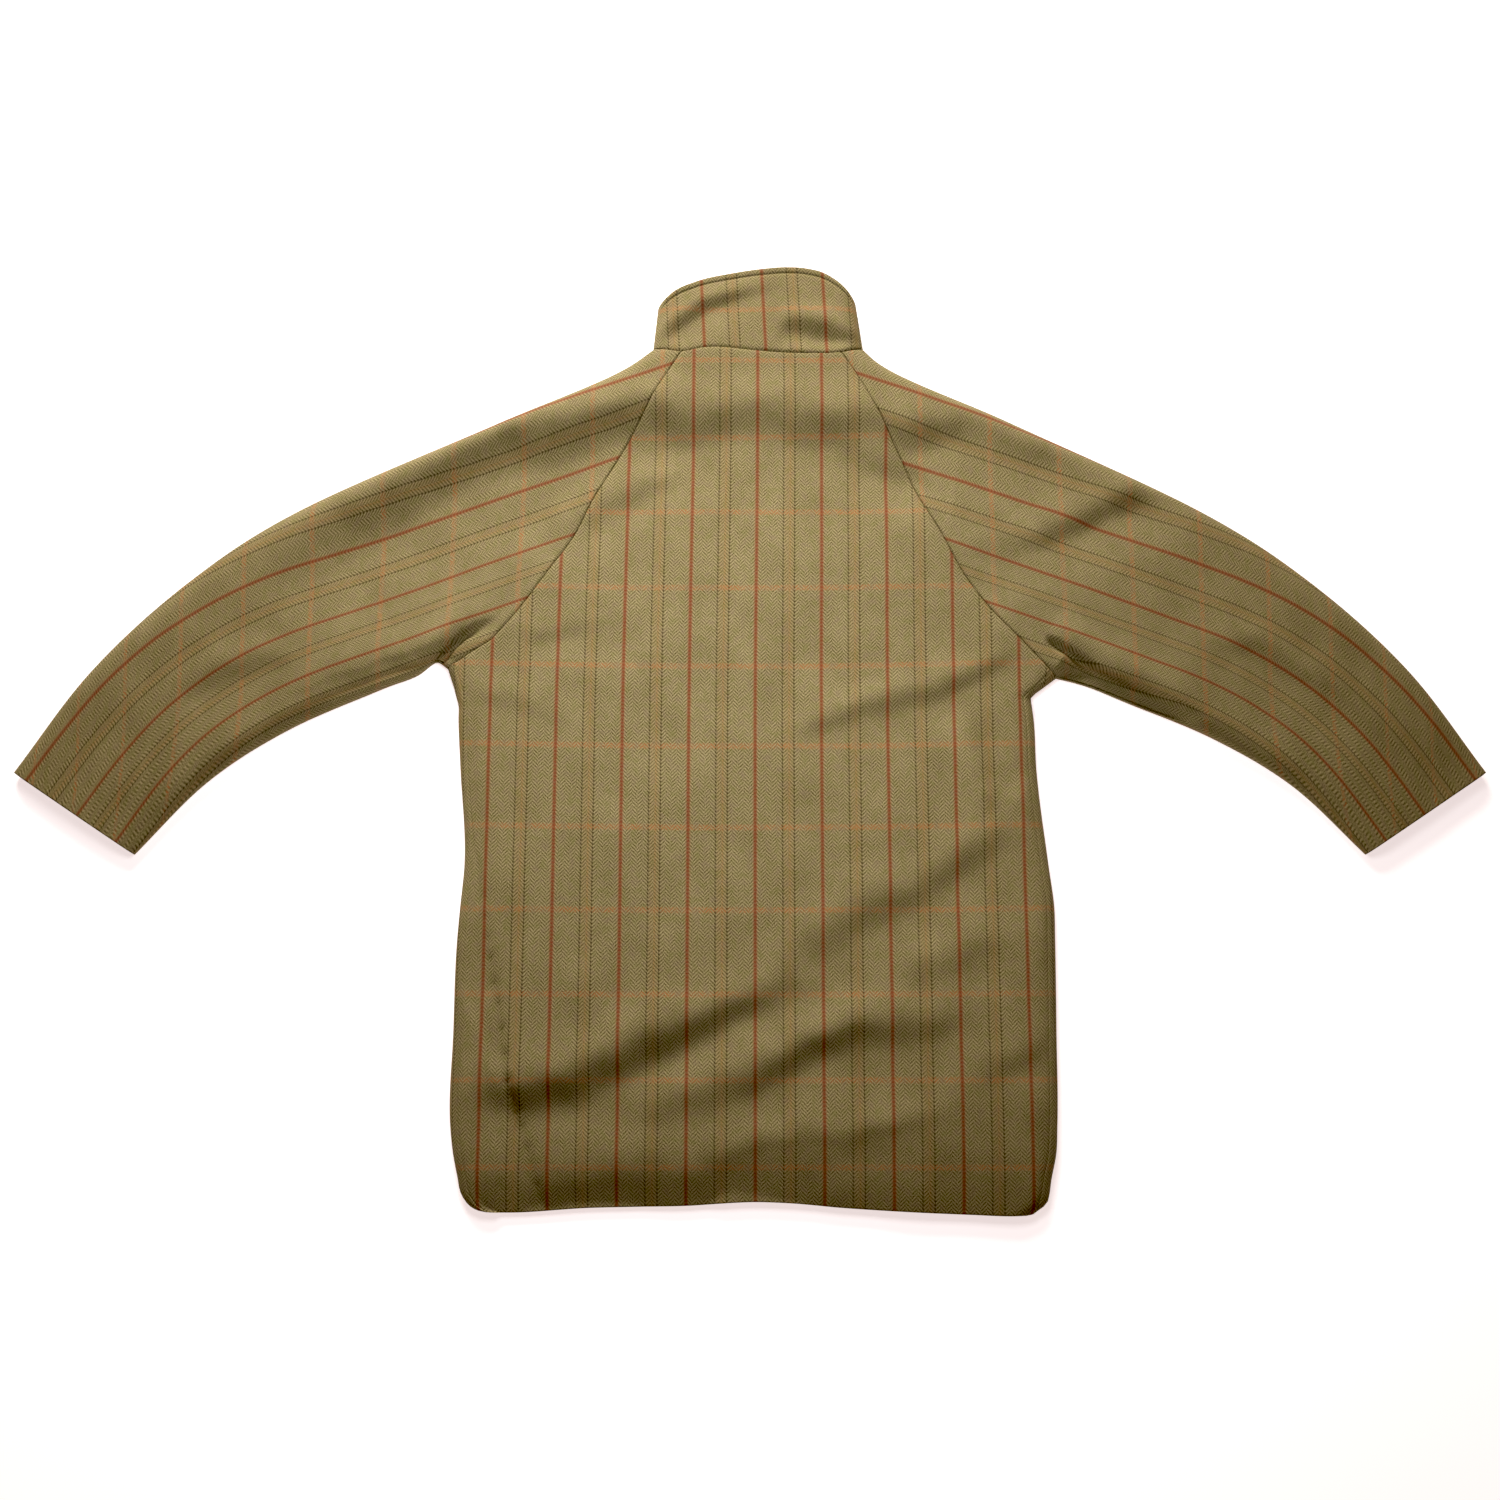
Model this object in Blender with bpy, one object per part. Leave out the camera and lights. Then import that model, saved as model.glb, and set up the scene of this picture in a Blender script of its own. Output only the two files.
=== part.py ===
"""Field coat of herringbone tweed, laid flat with its back up.

Metres, +Z up.  The coat lies on z = 0 with its collar towards +Y, so the wearer's left is at -X.
The origin is on that surface, under the middle of the back.  Every panel is a wall of cloth.
In the tables "out" is the distance out from the centre line, the same way on both sides.
"""
import bmesh
import bpy
import numpy as np

WALL = 0.0025              # tweed and the turned edges that stiffen it
COLLAR_WALL = 0.0035       # two layers of tweed on a stiffener
SEAM_GAP = 0.0003
SIDE_SEAM_IN = 0.0085      # the side seams lie on top, this far in from the folded edge

BODY_TOP = 0.0185          # height of the back where no fold crosses it
EDGE_HEIGHT = 0.0065       # height of a folded edge at its outermost
TOP_ROUND = 0.022          # how far in the upper layer takes to reach its height
UNDER_ROUND = 0.007        # the same for the layer that lies on the table
FOLD_FADE = 0.040          # the folds have died out at the edge and are whole this far in

TWEED = (0.262, 0.193, 0.082, 1.0)
TWEED_ROUGHNESS = 0.92
SHARP_ANGLE = np.radians(50)


def table(columns, *rows):
    """Short table as named columns."""
    return dict(zip(columns.split(), np.array(rows, dtype=float).T))


# Sections of the body from the hem to just under the arms: the folded edges and the top's height.
BODY = table(
    "y         left     right    top",
    (-0.4255,  0.2460,  0.2560,  0.0125),
    (-0.4145,  0.2590,  0.2685,  0.0132),
    (-0.3950,  0.2650,  0.2730,  0.0150),
    (-0.3730,  0.2700,  0.2780,  0.0170),
    (-0.3500,  0.2730,  0.2800,  0.0182),
    (-0.2650,  0.2730,  0.2820,  BODY_TOP),
    (-0.1770,  0.2720,  0.2830,  BODY_TOP),
    (-0.1100,  0.2670,  0.2785,  BODY_TOP),
    (-0.0180,  0.2740,  0.2700,  BODY_TOP),
    (0.0400,   0.2775,  0.2660,  BODY_TOP),
    (0.0580,   0.2820,  0.2760,  BODY_TOP),
)
# How far the hem dips above or below its section.
HEM = table(
    "x        dip",
    (-0.246,  0.0010),
    (-0.221, -0.0005),
    (-0.145,  0.0045),
    (0.000,   0.0095),
    (0.083,   0.0045),
    (0.148,  -0.0005),
    (0.235,  -0.0035),
    (0.256,   0.0000),
)
# Raglan seams, the same on the back and on the fronts.
RAGLAN = table(
    "y       left    right",
    (0.104,  0.2470, 0.2590),
    (0.127,  0.2270, 0.2370),
    (0.166,  0.1990, 0.2080),
    (0.213,  0.1680, 0.1835),
    (0.243,  0.1540, 0.1670),
    (0.279,  0.1340, 0.1510),
    (0.317,  0.1130, 0.1335),
    (0.374,  0.0810, 0.1035),
    (0.396,  0.0680, 0.0900),
)
# Where raglan seam, side edge and sleeve fold meet: distance out and height up the coat.
UNDERARM = {"left": (0.2890, 0.0770), "right": (0.2925, 0.0680)}
# Where the shoulder fold meets the collar.
NECK_SIDE = {"left": (0.0960, 0.4020), "right": (0.1120, 0.4020)}
# Back neck seam, as a rise above the top of the raglan seams.
NECK = table(
    "x        rise",
    (-0.096,  0.0060),
    (-0.068,  0.0000),
    (-0.044,  0.0065),
    (0.007,   0.0035),
    (0.044,   0.0010),
    (0.090,   0.0000),
    (0.112,   0.0060),
)
FRONT_NECK_DROP = 0.040    # the front neckline falls this far below the front raglan's end
LAP = 0.020                # each front passes the centre line by this much
LAP_STEP = (0.050, 0.024)  # the inner front climbs over the outer one between these
FRONT_COLUMNS = {
    "left": (0.060, 0.040, 0.020, 0.0, -LAP),
    "right": (0.075, *LAP_STEP, 0.0, -LAP),
}

# The sleeves' two folds from the armhole to the cuff, and the height of the sleeve between them.
SLEEVE = {
    "left": table(
        "share  upper_out  upper_y  lower_out  lower_y  top",
        (0.00,  0.0960,    0.4020,  0.2890,    0.0770,  BODY_TOP),
        (0.04,  0.1120,    0.3880,  0.2960,    0.0775,  0.0188),
        (0.20,  0.2470,    0.3250,  0.3190,    0.0715,  0.0210),
        (0.42,  0.4425,    0.2330,  0.3575,    0.0550,  0.0215),
        (0.61,  0.5410,    0.1640,  0.4390,    0.0180,  0.0205),
        (0.81,  0.6300,    0.0750,  0.5140,   -0.0330,  0.0180),
        (1.00,  0.6965,   -0.0230,  0.5775,   -0.1010,  0.0140),
    ),
    "right": table(
        "share  upper_out  upper_y  lower_out  lower_y  top",
        (0.00,  0.1120,    0.4020,  0.2925,    0.0680,  BODY_TOP),
        (0.04,  0.1270,    0.3880,  0.2990,    0.0665,  0.0188),
        (0.20,  0.2530,    0.3265,  0.3220,    0.0600,  0.0210),
        (0.42,  0.4425,    0.2320,  0.3600,    0.0440,  0.0215),
        (0.61,  0.5410,    0.1630,  0.4390,    0.0100,  0.0205),
        (0.81,  0.6300,    0.0750,  0.5140,   -0.0370,  0.0180),
        (1.00,  0.6965,   -0.0230,  0.5775,   -0.1010,  0.0140),
    ),
}
SLEEVE_RINGS = 20
SLEEVE_FOLD_KEEP = (0.011, 0.044)  # columns this near the lower and upper fold keep their distance from it

# The collar's top edge across the back, from its left fold to its right.
COLLAR_TOP = table(
    "share  y",
    (0.00,  0.4465),
    (0.06,  0.4590),
    (0.15,  0.4690),
    (0.30,  0.4790),
    (0.48,  0.4855),
    (0.68,  0.4880),
    (0.80,  0.4845),
    (0.90,  0.4755),
    (0.96,  0.4650),
    (1.00,  0.4500),
)
COLLAR_TAPER = {"left": 0.0065, "right": 0.0105}   # the folds lean in by this at the top
COLLAR_HEIGHTS = (0.0, 0.2, 0.4, 0.6, 0.8, 1.0)
COLLAR_TOP_HEIGHT = 0.0195
COLLAR_ROUND = 0.020
COLLAR_FRONT_HEIGHT = 0.075
COLLAR_OPENING = 0.001     # half of the opening at centre front

# Largest folds.  The cloth steps down towards the hem across each line, with a ridge above it and
# a trough below it: reach is the distance to either, height how far they stand from the cloth.
FOLDS = table(
    "x0       y0      x1      y1      reach  height",
    (-0.215, -0.322, -0.060, -0.268,  0.024, 0.0042),
    (-0.060, -0.268,  0.045, -0.224,  0.024, 0.0032),
    (-0.050, -0.322,  0.100, -0.266,  0.022, 0.0036),
    (0.100,  -0.266,  0.165, -0.253,  0.022, 0.0018),
    (0.070,   0.022,  0.235,  0.080,  0.018, 0.0024),
    (0.157,  -0.138,  0.250, -0.020,  0.030, 0.0020),
    (-0.219,  0.309, -0.114,  0.333,  0.018, 0.0020),
    (-0.358,  0.235, -0.219,  0.309,  0.020, 0.0026),
    (0.277,   0.198,  0.352,  0.239,  0.020, 0.0024),
    (-0.084,  0.414, -0.050,  0.451,  0.010, 0.0018),
    (-0.050,  0.451, -0.005,  0.458,  0.010, 0.0018),
    (0.040,   0.422,  0.097,  0.412,  0.010, 0.0018),
)

# Rows of the body: close together at the hem's round corners, even up the sides and the raglans.
HEM_Y = BODY["y"][0]
SIDE_ROWS = 17
SIDE_Y = np.concatenate((BODY["y"][:4], np.linspace(BODY["y"][4], BODY["y"][9], SIDE_ROWS), BODY["y"][10:]))
HEM_WEIGHT = np.interp(SIDE_Y, (HEM_Y, BODY["y"][4]), (1.0, 0.0))
RAGLAN_ROWS = 10
FRONT_RAGLAN_Y = np.linspace(RAGLAN["y"][0], RAGLAN["y"][-2], RAGLAN_ROWS)
RAGLAN_Y = np.append(FRONT_RAGLAN_Y, RAGLAN["y"][-1])
# Columns, as distances in from a seam or a folded edge, close together where the cloth is round.
BACK_COLUMNS = 22
BACK_EDGE_STEPS = np.array((0.0, 0.0055, 0.0135))
STRIP_STEPS = np.array((SIDE_SEAM_IN, 0.0045, 0.0015, 0.0))
UNDER_STEPS = np.array((0.001, 0.0035, UNDER_ROUND))
NECK_STEPS = np.array((0.020, 0.009, 0.003, 0.0))


def smooth(places, values, at):
    """Value at a place on a smooth curve through a table's rows."""
    at = np.asarray(at, dtype=float)
    slopes = np.gradient(values, places)
    row = np.clip(np.searchsorted(places, at) - 1, 0, len(places) - 2)
    step = places[row + 1] - places[row]
    s = np.clip((at - places[row]) / step, 0.0, 1.0)
    return ((1 + 2 * s) * (1 - s) ** 2 * values[row]
            + s * (1 - s) ** 2 * step * slopes[row]
            + s ** 2 * (3 - 2 * s) * values[row + 1]
            - s ** 2 * (1 - s) * step * slopes[row + 1])


def rounded(inward, reach, edge, far, wall):
    """Outside and inside height of a layer at a distance in from its fold, and the inside's inset."""
    share = np.clip(inward / reach, 0.0, 1.0)
    rise = np.sqrt(1 - (1 - share) ** 2)
    inside_far = far - np.where(far > edge, wall, -wall)
    return edge + (far - edge) * rise, edge + (inside_far - edge) * rise, wall * (1 - share)


def fold_height(x, y, inward):
    """Height that the folds add at a place, faded out towards a folded edge."""
    total = np.zeros(np.broadcast(x, y).shape)
    for x0, y0, x1, y1, reach, height in zip(*(FOLDS[name] for name in FOLDS)):
        length = np.hypot(x1 - x0, y1 - y0)
        along = ((x - x0) * (x1 - x0) + (y - y0) * (y1 - y0)) / length
        across = ((y - y0) * (x1 - x0) - (x - x0) * (y1 - y0)) / length / reach
        past_end = np.maximum(np.maximum(-along, along - length), 0.0) / reach
        total += height * across * np.exp(0.5 - 0.5 * across ** 2 - 0.5 * past_end ** 2)
    fade = np.clip((inward - SIDE_SEAM_IN) / (FOLD_FADE - SIDE_SEAM_IN), 0.0, 1.0)
    return total * fade * fade * (3 - 2 * fade)


def points(x, y, z):
    return np.stack(np.broadcast_arrays(x, y, z), axis=-1)


def edge_out(side, y):
    return smooth(BODY["y"], BODY[side], y)


def raglan_out(side, y):
    return smooth(RAGLAN["y"], RAGLAN[side], y)


def underarm(side, steps):
    """Places along the raglan seam, at these distances in from the underarm edge."""
    corner = np.array(UNDERARM[side])
    start = np.array((raglan_out(side, RAGLAN_Y[0]), RAGLAN_Y[0])) - corner
    return corner + np.multiply.outer(steps, start / np.linalg.norm(start))


def front_neck_y(side, out):
    """Front neckline, from the front raglan's end to the centre line and past it."""
    end_out = raglan_out(side, FRONT_RAGLAN_Y[-1])
    share = np.clip(1 - out / end_out, 0.0, 1.0)
    return FRONT_RAGLAN_Y[-1] - FRONT_NECK_DROP * np.sin(share * np.pi / 2)


def cloth(name, parent, sheets):
    """One closed wall from grids of outside and inside points; grids that meet share their points."""
    index = {}
    outside, inside, faces = [], [], []
    for outer, inner in sheets:
        ids = np.empty(outer.shape[:2], dtype=int)
        for place in np.ndindex(ids.shape):
            key = tuple(np.round(outer[place], 6))
            if key not in index:
                index[key] = len(outside)
                outside.append(outer[place])
                inside.append(inner[place])
            ids[place] = index[key]
        for r in range(ids.shape[0] - 1):
            for c in range(ids.shape[1] - 1):
                faces.append((ids[r, c], ids[r, c + 1], ids[r + 1, c + 1], ids[r + 1, c]))
    count = len(outside)
    edges = {(face[k], face[(k + 1) % 4]) for face in faces for k in range(4)}
    rim = [(b, a, a + count, b + count) for a, b in edges if (b, a) not in edges]
    inner_faces = [tuple(corner + count for corner in reversed(face)) for face in faces]

    mesh = bpy.data.meshes.new(name)
    mesh.from_pydata([tuple(p) for p in outside + inside], [], faces + inner_faces + rim)
    shell = bmesh.new()
    shell.from_mesh(mesh)
    bmesh.ops.recalc_face_normals(shell, faces=shell.faces)
    shell.to_mesh(mesh)
    shell.free()
    mesh.shade_smooth()
    mesh.set_sharp_from_angle(angle=SHARP_ANGLE)
    mesh.materials.append(tweed(name))
    panel = bpy.data.objects.new(name, mesh)
    panel.parent = parent
    bpy.context.collection.objects.link(panel)


def tweed(name):
    material = bpy.data.materials.new(f"{name} tweed")
    material.use_nodes = True
    shader = material.node_tree.nodes["Principled BSDF"]
    shader.inputs["Base Color"].default_value = TWEED
    shader.inputs["Roughness"].default_value = TWEED_ROUGHNESS
    return material


def back_columns(span):
    """Distances of the back's columns from its left seam."""
    middle = np.linspace(BACK_EDGE_STEPS[-1], span - BACK_EDGE_STEPS[-1], BACK_COLUMNS)[1:-1]
    return np.concatenate((BACK_EDGE_STEPS, middle, span - BACK_EDGE_STEPS[::-1]))


def back_row(left, right, lead, top):
    """One row of the back between two seam points, lead being their distance from a folded edge."""
    span = right[0] - left[0]
    across = back_columns(span)
    x = left[0] + across
    y = left[1] + (right[1] - left[1]) * across / span
    from_left = across + lead[0]
    from_right = span - across + lead[1]
    inward = np.minimum(from_left, from_right)
    outer_z, inner_z, inset = rounded(inward, TOP_ROUND, EDGE_HEIGHT, top, WALL)
    inner_x = x + np.where(from_left < from_right, inset, -inset)
    return x, y, outer_z, inner_x, inner_z, inward


def build_back(parent):
    """Back panel: side seam to side seam below the arms, raglan to raglan above them."""
    rows = []
    for y in SIDE_Y:
        left = (-(edge_out("left", y) - SIDE_SEAM_IN), y)
        right = (edge_out("right", y) - SIDE_SEAM_IN, y)
        top = smooth(BODY["y"], BODY["top"], y)
        rows.append(back_row(left, right, (SIDE_SEAM_IN, SIDE_SEAM_IN), top))
    pits = [underarm(side, SIDE_SEAM_IN) for side in ("left", "right")]
    rows.append(back_row((-pits[0][0], pits[0][1]), pits[1], (SIDE_SEAM_IN, SIDE_SEAM_IN), BODY_TOP))
    for y in RAGLAN_Y:
        outs = [raglan_out(side, y) for side in ("left", "right")]
        lead = [np.hypot(UNDERARM[side][0] - out, UNDERARM[side][1] - y)
                for side, out in zip(("left", "right"), outs)]
        rows.append(back_row((-outs[0], y), (outs[1], y), lead, BODY_TOP))
    x, y, outer_z, inner_x, inner_z, inward = (np.array(part) for part in zip(*rows))
    y[:len(SIDE_Y)] += HEM_WEIGHT[:, None] * smooth(HEM["x"], HEM["dip"], x[:len(SIDE_Y)])
    rise = np.interp(x[-1], NECK["x"], NECK["rise"])
    y[-1] += rise
    y[-2] += rise / 2
    fold = fold_height(x, y, inward)
    cloth("back", parent, [(points(x, y, outer_z + fold), points(inner_x, y, inner_z + fold))])


def build_front(side, parent):
    """Front panel: from the side seam round the folded edge, and flat underneath to its lap."""
    sign = -1 if side == "left" else 1
    steps = np.concatenate((STRIP_STEPS, UNDER_STEPS))
    steps[0] -= SEAM_GAP
    over = len(STRIP_STEPS)
    wrap_out = np.vstack([edge_out(side, y) - steps for y in SIDE_Y] + [underarm(side, steps)[:, 0]])
    wrap_y = np.vstack([np.full(len(steps), y) for y in SIDE_Y] + [underarm(side, steps)[:, 1]])
    dip = smooth(HEM["x"], HEM["dip"], sign * wrap_out[:-1])
    wrap_y[:-1] += HEM_WEIGHT[:, None] * dip
    tops = np.append(smooth(BODY["y"], BODY["top"], SIDE_Y), BODY_TOP)[:, None]
    upper = rounded(steps[:over], TOP_ROUND, EDGE_HEIGHT, tops, WALL)
    under = rounded(steps[over:], UNDER_ROUND, EDGE_HEIGHT, np.zeros_like(tops), WALL)
    outer_z = np.hstack((upper[0], under[0]))
    inner_z = np.hstack((upper[1], under[1]))
    inner_out = wrap_out - np.append(upper[2], under[2])
    wrap = (points(sign * wrap_out, wrap_y, outer_z), points(sign * inner_out, wrap_y, inner_z))

    seam_y = np.concatenate((wrap_y[:, -1], FRONT_RAGLAN_Y))
    seam_out = np.concatenate((wrap_out[:, -1], raglan_out(side, FRONT_RAGLAN_Y)))
    columns = np.array(FRONT_COLUMNS[side])
    flat_out = np.hstack((seam_out[:, None], np.tile(columns, (len(seam_out), 1))))
    climb = (seam_y - HEM_Y) / (FRONT_RAGLAN_Y[-1] - HEM_Y)
    fall = front_neck_y(side, columns) - FRONT_RAGLAN_Y[-1]
    flat_y = np.hstack((seam_y[:, None], seam_y[:, None] + np.multiply.outer(climb ** 2, fall)))
    dip = smooth(HEM["x"], HEM["dip"], sign * columns) - (seam_y[0] - HEM_Y)
    flat_y[:len(SIDE_Y), 1:] += np.multiply.outer(HEM_WEIGHT, dip)
    lift = np.zeros_like(flat_out)
    if side == "right":
        lift = np.interp(-flat_out, (-LAP_STEP[0], -LAP_STEP[1]), (0.0, WALL + SEAM_GAP))
    flat = (points(sign * flat_out, flat_y, lift), points(sign * flat_out, flat_y, lift + WALL))
    cloth(f"front_{side}", parent, [wrap, flat])


def armhole(side, rows, low_steps, neck_steps):
    """Plan of half an armhole: from the underarm up a raglan seam, then along the neck to the fold."""
    neck_side = np.array(NECK_SIDE[side])
    seam = np.column_stack((raglan_out(side, rows), rows))
    to_seam = (seam[-1] - neck_side) / np.linalg.norm(seam[-1] - neck_side)
    neck = neck_side + np.multiply.outer(neck_steps, to_seam)
    return np.vstack((underarm(side, low_steps), seam, neck))


def set_in(line):
    """The armhole line moved into the sleeve by the seam gap, straight down at the shoulder fold."""
    along = np.gradient(line, axis=0)
    along /= np.linalg.norm(along, axis=1)[:, None]
    away = np.column_stack((along[:, 1], -along[:, 0]))
    away[-1] = (0.0, -1.0)
    return line + SEAM_GAP * away


def sleeve_layer(side, line, reach, upper):
    """Outside and inside grid of a sleeve's upper or lower layer, ring by ring to the cuff."""
    cut = SLEEVE[side]
    sign = -1 if side == "left" else 1
    travel = np.append(0.0, np.cumsum(np.linalg.norm(np.diff(line, axis=0), axis=1)))
    inward = np.minimum(travel, travel[-1] - travel)
    line = set_in(line)
    near_low = travel <= SLEEVE_FOLD_KEEP[0]
    near_high = travel[-1] - travel <= SLEEVE_FOLD_KEEP[1]
    low_end, high_end = travel[near_low][-1], (travel[-1] - travel[near_high])[0]
    outer, inner = [], []
    for share in np.linspace(0.0, 1.0, SLEEVE_RINGS + 1):
        low = np.array([smooth(cut["share"], cut[name], share) for name in ("lower_out", "lower_y")])
        high = np.array([smooth(cut["share"], cut[name], share) for name in ("upper_out", "upper_y")])
        top = smooth(cut["share"], cut["top"], share)
        width = np.linalg.norm(high - low)
        toward = (high - low) / width
        spread = (travel - low_end) / (travel[-1] - high_end - low_end)
        place = low_end + spread * (width - high_end - low_end)
        place = np.where(near_low, travel, np.where(near_high, width - (travel[-1] - travel), place))
        plan = low + np.multiply.outer(place, toward)
        if share == 0.0:
            straight = plan
            plan = line
        else:
            inward = np.minimum(place, width - place)
            plan = plan + (1 - share) ** 2 * (line - straight)
        far = top if upper else 0.0
        outer_z, inner_z, inset = rounded(inward, reach, EDGE_HEIGHT, far, WALL)
        if upper:
            fold = fold_height(sign * plan[:, 0], plan[:, 1], inward)
            outer_z, inner_z = outer_z + fold, inner_z + fold
        inset = np.where(place < width / 2, inset, -inset)
        inner_plan = plan + np.multiply.outer(inset, toward)
        outer.append(points(sign * plan[:, 0], plan[:, 1], outer_z))
        inner.append(points(sign * inner_plan[:, 0], inner_plan[:, 1], inner_z))
    return np.array(outer), np.array(inner)


def build_sleeve(side, parent):
    """Raglan sleeve: a flattened tube from the armhole seam to the cuff."""
    upper_line = armhole(side, RAGLAN_Y, STRIP_STEPS[::-1], NECK_STEPS)
    lower_steps = np.append(0.0, UNDER_STEPS)
    lower_line = armhole(side, FRONT_RAGLAN_Y, lower_steps, lower_steps[::-1])
    upper = sleeve_layer(side, upper_line, TOP_ROUND, True)
    lower = sleeve_layer(side, lower_line, UNDER_ROUND, False)
    cloth(f"sleeve_{side}", parent, [upper, [grid[:, ::-1] for grid in lower]])


def collar_front(side, height):
    """One row of the collar's half that lies underneath, from its side fold to centre front."""
    sign = -1 if side == "left" else 1
    fold_out, fold_y = NECK_SIDE[side]
    seam_out = raglan_out(side, FRONT_RAGLAN_Y[-1])
    on_front = [out for out in FRONT_COLUMNS[side] if out > 0.0]
    neck_out = np.concatenate((fold_out - UNDER_STEPS, (seam_out, *on_front, COLLAR_OPENING)))
    inward = fold_out - neck_out
    on_sleeve = np.clip((neck_out - seam_out) / (fold_out - seam_out), 0.0, 1.0)
    low = front_neck_y(side, neck_out) + on_sleeve * (fold_y - FRONT_RAGLAN_Y[-1]) + SEAM_GAP
    fold_top = COLLAR_TOP["y"][0 if side == "left" else -1]
    front_top = front_neck_y(side, 0.0) + COLLAR_FRONT_HEIGHT
    share = inward / inward[-1]
    high = fold_top + (front_top - fold_top) * share ** 2 * (3 - 2 * share)
    y = low + height * (high - low)
    out = neck_out * (1 - COLLAR_TAPER[side] * height / fold_out)
    outer_z, inner_z, inset = rounded(inward, UNDER_ROUND, EDGE_HEIGHT, 0.0, COLLAR_WALL)
    return points(sign * out, y, outer_z), points(sign * (out - inset), y, inner_z)


def collar_back(height):
    """One row of the collar's half that shows, from its left fold across the back to its right."""
    neck_left, neck_right = NECK_SIDE["left"][0], NECK_SIDE["right"][0]
    left = -neck_left + COLLAR_TAPER["left"] * height
    span = neck_right - COLLAR_TAPER["right"] * height - left
    neck_span = neck_left + neck_right
    seam_left, seam_right = (raglan_out(side, RAGLAN_Y[-1]) for side in ("left", "right"))
    on_back = (back_columns(seam_left + seam_right) + neck_left - seam_left) * span / neck_span
    across = np.concatenate((NECK_STEPS[::-1], on_back, span - NECK_STEPS))
    share = across / span
    low = RAGLAN_Y[-1] + np.interp(share * neck_span - neck_left, NECK["x"], NECK["rise"]) + SEAM_GAP
    high = smooth(COLLAR_TOP["share"], COLLAR_TOP["y"], share)
    x = left + across
    y = low + height * (high - low)
    inward = np.minimum(across, span - across)
    top = BODY_TOP + height * (COLLAR_TOP_HEIGHT - BODY_TOP)
    outer_z, inner_z, inset = rounded(inward, COLLAR_ROUND, EDGE_HEIGHT, top, COLLAR_WALL)
    inset = np.where(across < span / 2, inset, -inset)
    fold = fold_height(x, y, inward)
    return points(x, y, outer_z + fold), points(x + inset, y, inner_z + fold)


def build_collar(parent):
    """Stand collar: one band from centre front round the back of the neck, folded at both sides."""
    outer, inner = [], []
    for height in COLLAR_HEIGHTS:
        left, back, right = collar_front("left", height), collar_back(height), collar_front("right", height)
        outer.append(np.vstack((left[0][::-1], back[0], right[0])))
        inner.append(np.vstack((left[1][::-1], back[1], right[1])))
    cloth("collar", parent, [(np.array(outer), np.array(inner))])


for old in list(bpy.data.objects):
    bpy.data.objects.remove(old)
coat = bpy.data.objects.new("field_coat", None)
bpy.context.collection.objects.link(coat)
build_back(coat)
for wearer_side in ("left", "right"):
    build_front(wearer_side, coat)
    build_sleeve(wearer_side, coat)
build_collar(coat)
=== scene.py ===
"""Looks of a herringbone tweed field coat, laid flat with its back up on a pale floor.

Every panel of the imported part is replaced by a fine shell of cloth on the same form, with its creases.
Metres, +Z up, collar towards +Y.  "Out" is the distance out from the centre line on either side.
"""

import bmesh
import bpy
import numpy as np
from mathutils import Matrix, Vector


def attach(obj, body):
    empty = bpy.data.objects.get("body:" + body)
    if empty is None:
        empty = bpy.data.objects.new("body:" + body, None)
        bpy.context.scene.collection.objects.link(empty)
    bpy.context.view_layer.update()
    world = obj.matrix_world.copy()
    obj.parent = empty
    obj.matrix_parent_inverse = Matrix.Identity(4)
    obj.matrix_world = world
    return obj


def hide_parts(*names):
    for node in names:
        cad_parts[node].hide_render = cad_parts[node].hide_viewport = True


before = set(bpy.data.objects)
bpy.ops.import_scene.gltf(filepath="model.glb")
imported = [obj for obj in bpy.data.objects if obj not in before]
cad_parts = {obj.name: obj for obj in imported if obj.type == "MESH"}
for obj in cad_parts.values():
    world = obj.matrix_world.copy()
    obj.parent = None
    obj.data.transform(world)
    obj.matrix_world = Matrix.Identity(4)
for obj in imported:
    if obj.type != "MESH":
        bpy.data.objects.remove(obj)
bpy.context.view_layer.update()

# Back panel
# One piece of wool tweed from hem to collar, with no centre seam.  Its sides are sewn to the fronts
# just inside the folded edge and its raglan edges to the sleeves; the hem is turned up.


def table(columns, *rows):
    """Short table as named columns."""
    return dict(zip(columns.split(), np.array(rows, dtype=float).T))


WALL = 0.0025
SEAM_GAP = 0.0003
SIDE_SEAM_IN = 0.0085
BODY_TOP = 0.0185
EDGE_HEIGHT = 0.0065
TOP_ROUND = 0.022
UNDER_ROUND = 0.007
SEAM_DIP = 0.0017          # the cloth turns down into a seam by this much
SEAM_ROLL = 0.0012         # and does so over about this distance
SIDE_SEAM_DIP = 0.35       # share of that at the side seams, which are pressed flat
LAYER = ((-0.045, -0.025, 0.055, 0.075),      # lowest that the back lies on the fronts, which lap
         (0.0058, 0.0083, 0.0083, 0.0058))    # between the middle two of these places across
CREASE_FADE = 0.012        # creases are whole this far in from a folded edge
ROUND_RISE = 0.013         # about how far the cloth climbs from a folded edge to its top
TROUGH_TAIL = 1.5          # how slowly the cloth rises again below a trough
EDGE_CLOSE = 0.9           # how nearly the two sides of a turned edge meet
ARC_STEPS = 64             # steps that a rounded edge's length is added up in
SHARP_ANGLE = np.radians(50)
NECK_SEAM_MIDDLE = 0.005
NECK_SEAM_ENDS = (0.062, 0.048)   # the neck seam is shallow and whole at these distances from its middle
NECK_SEAM_END_DIP = 0.35          # share of the dip where it is shallow

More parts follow.
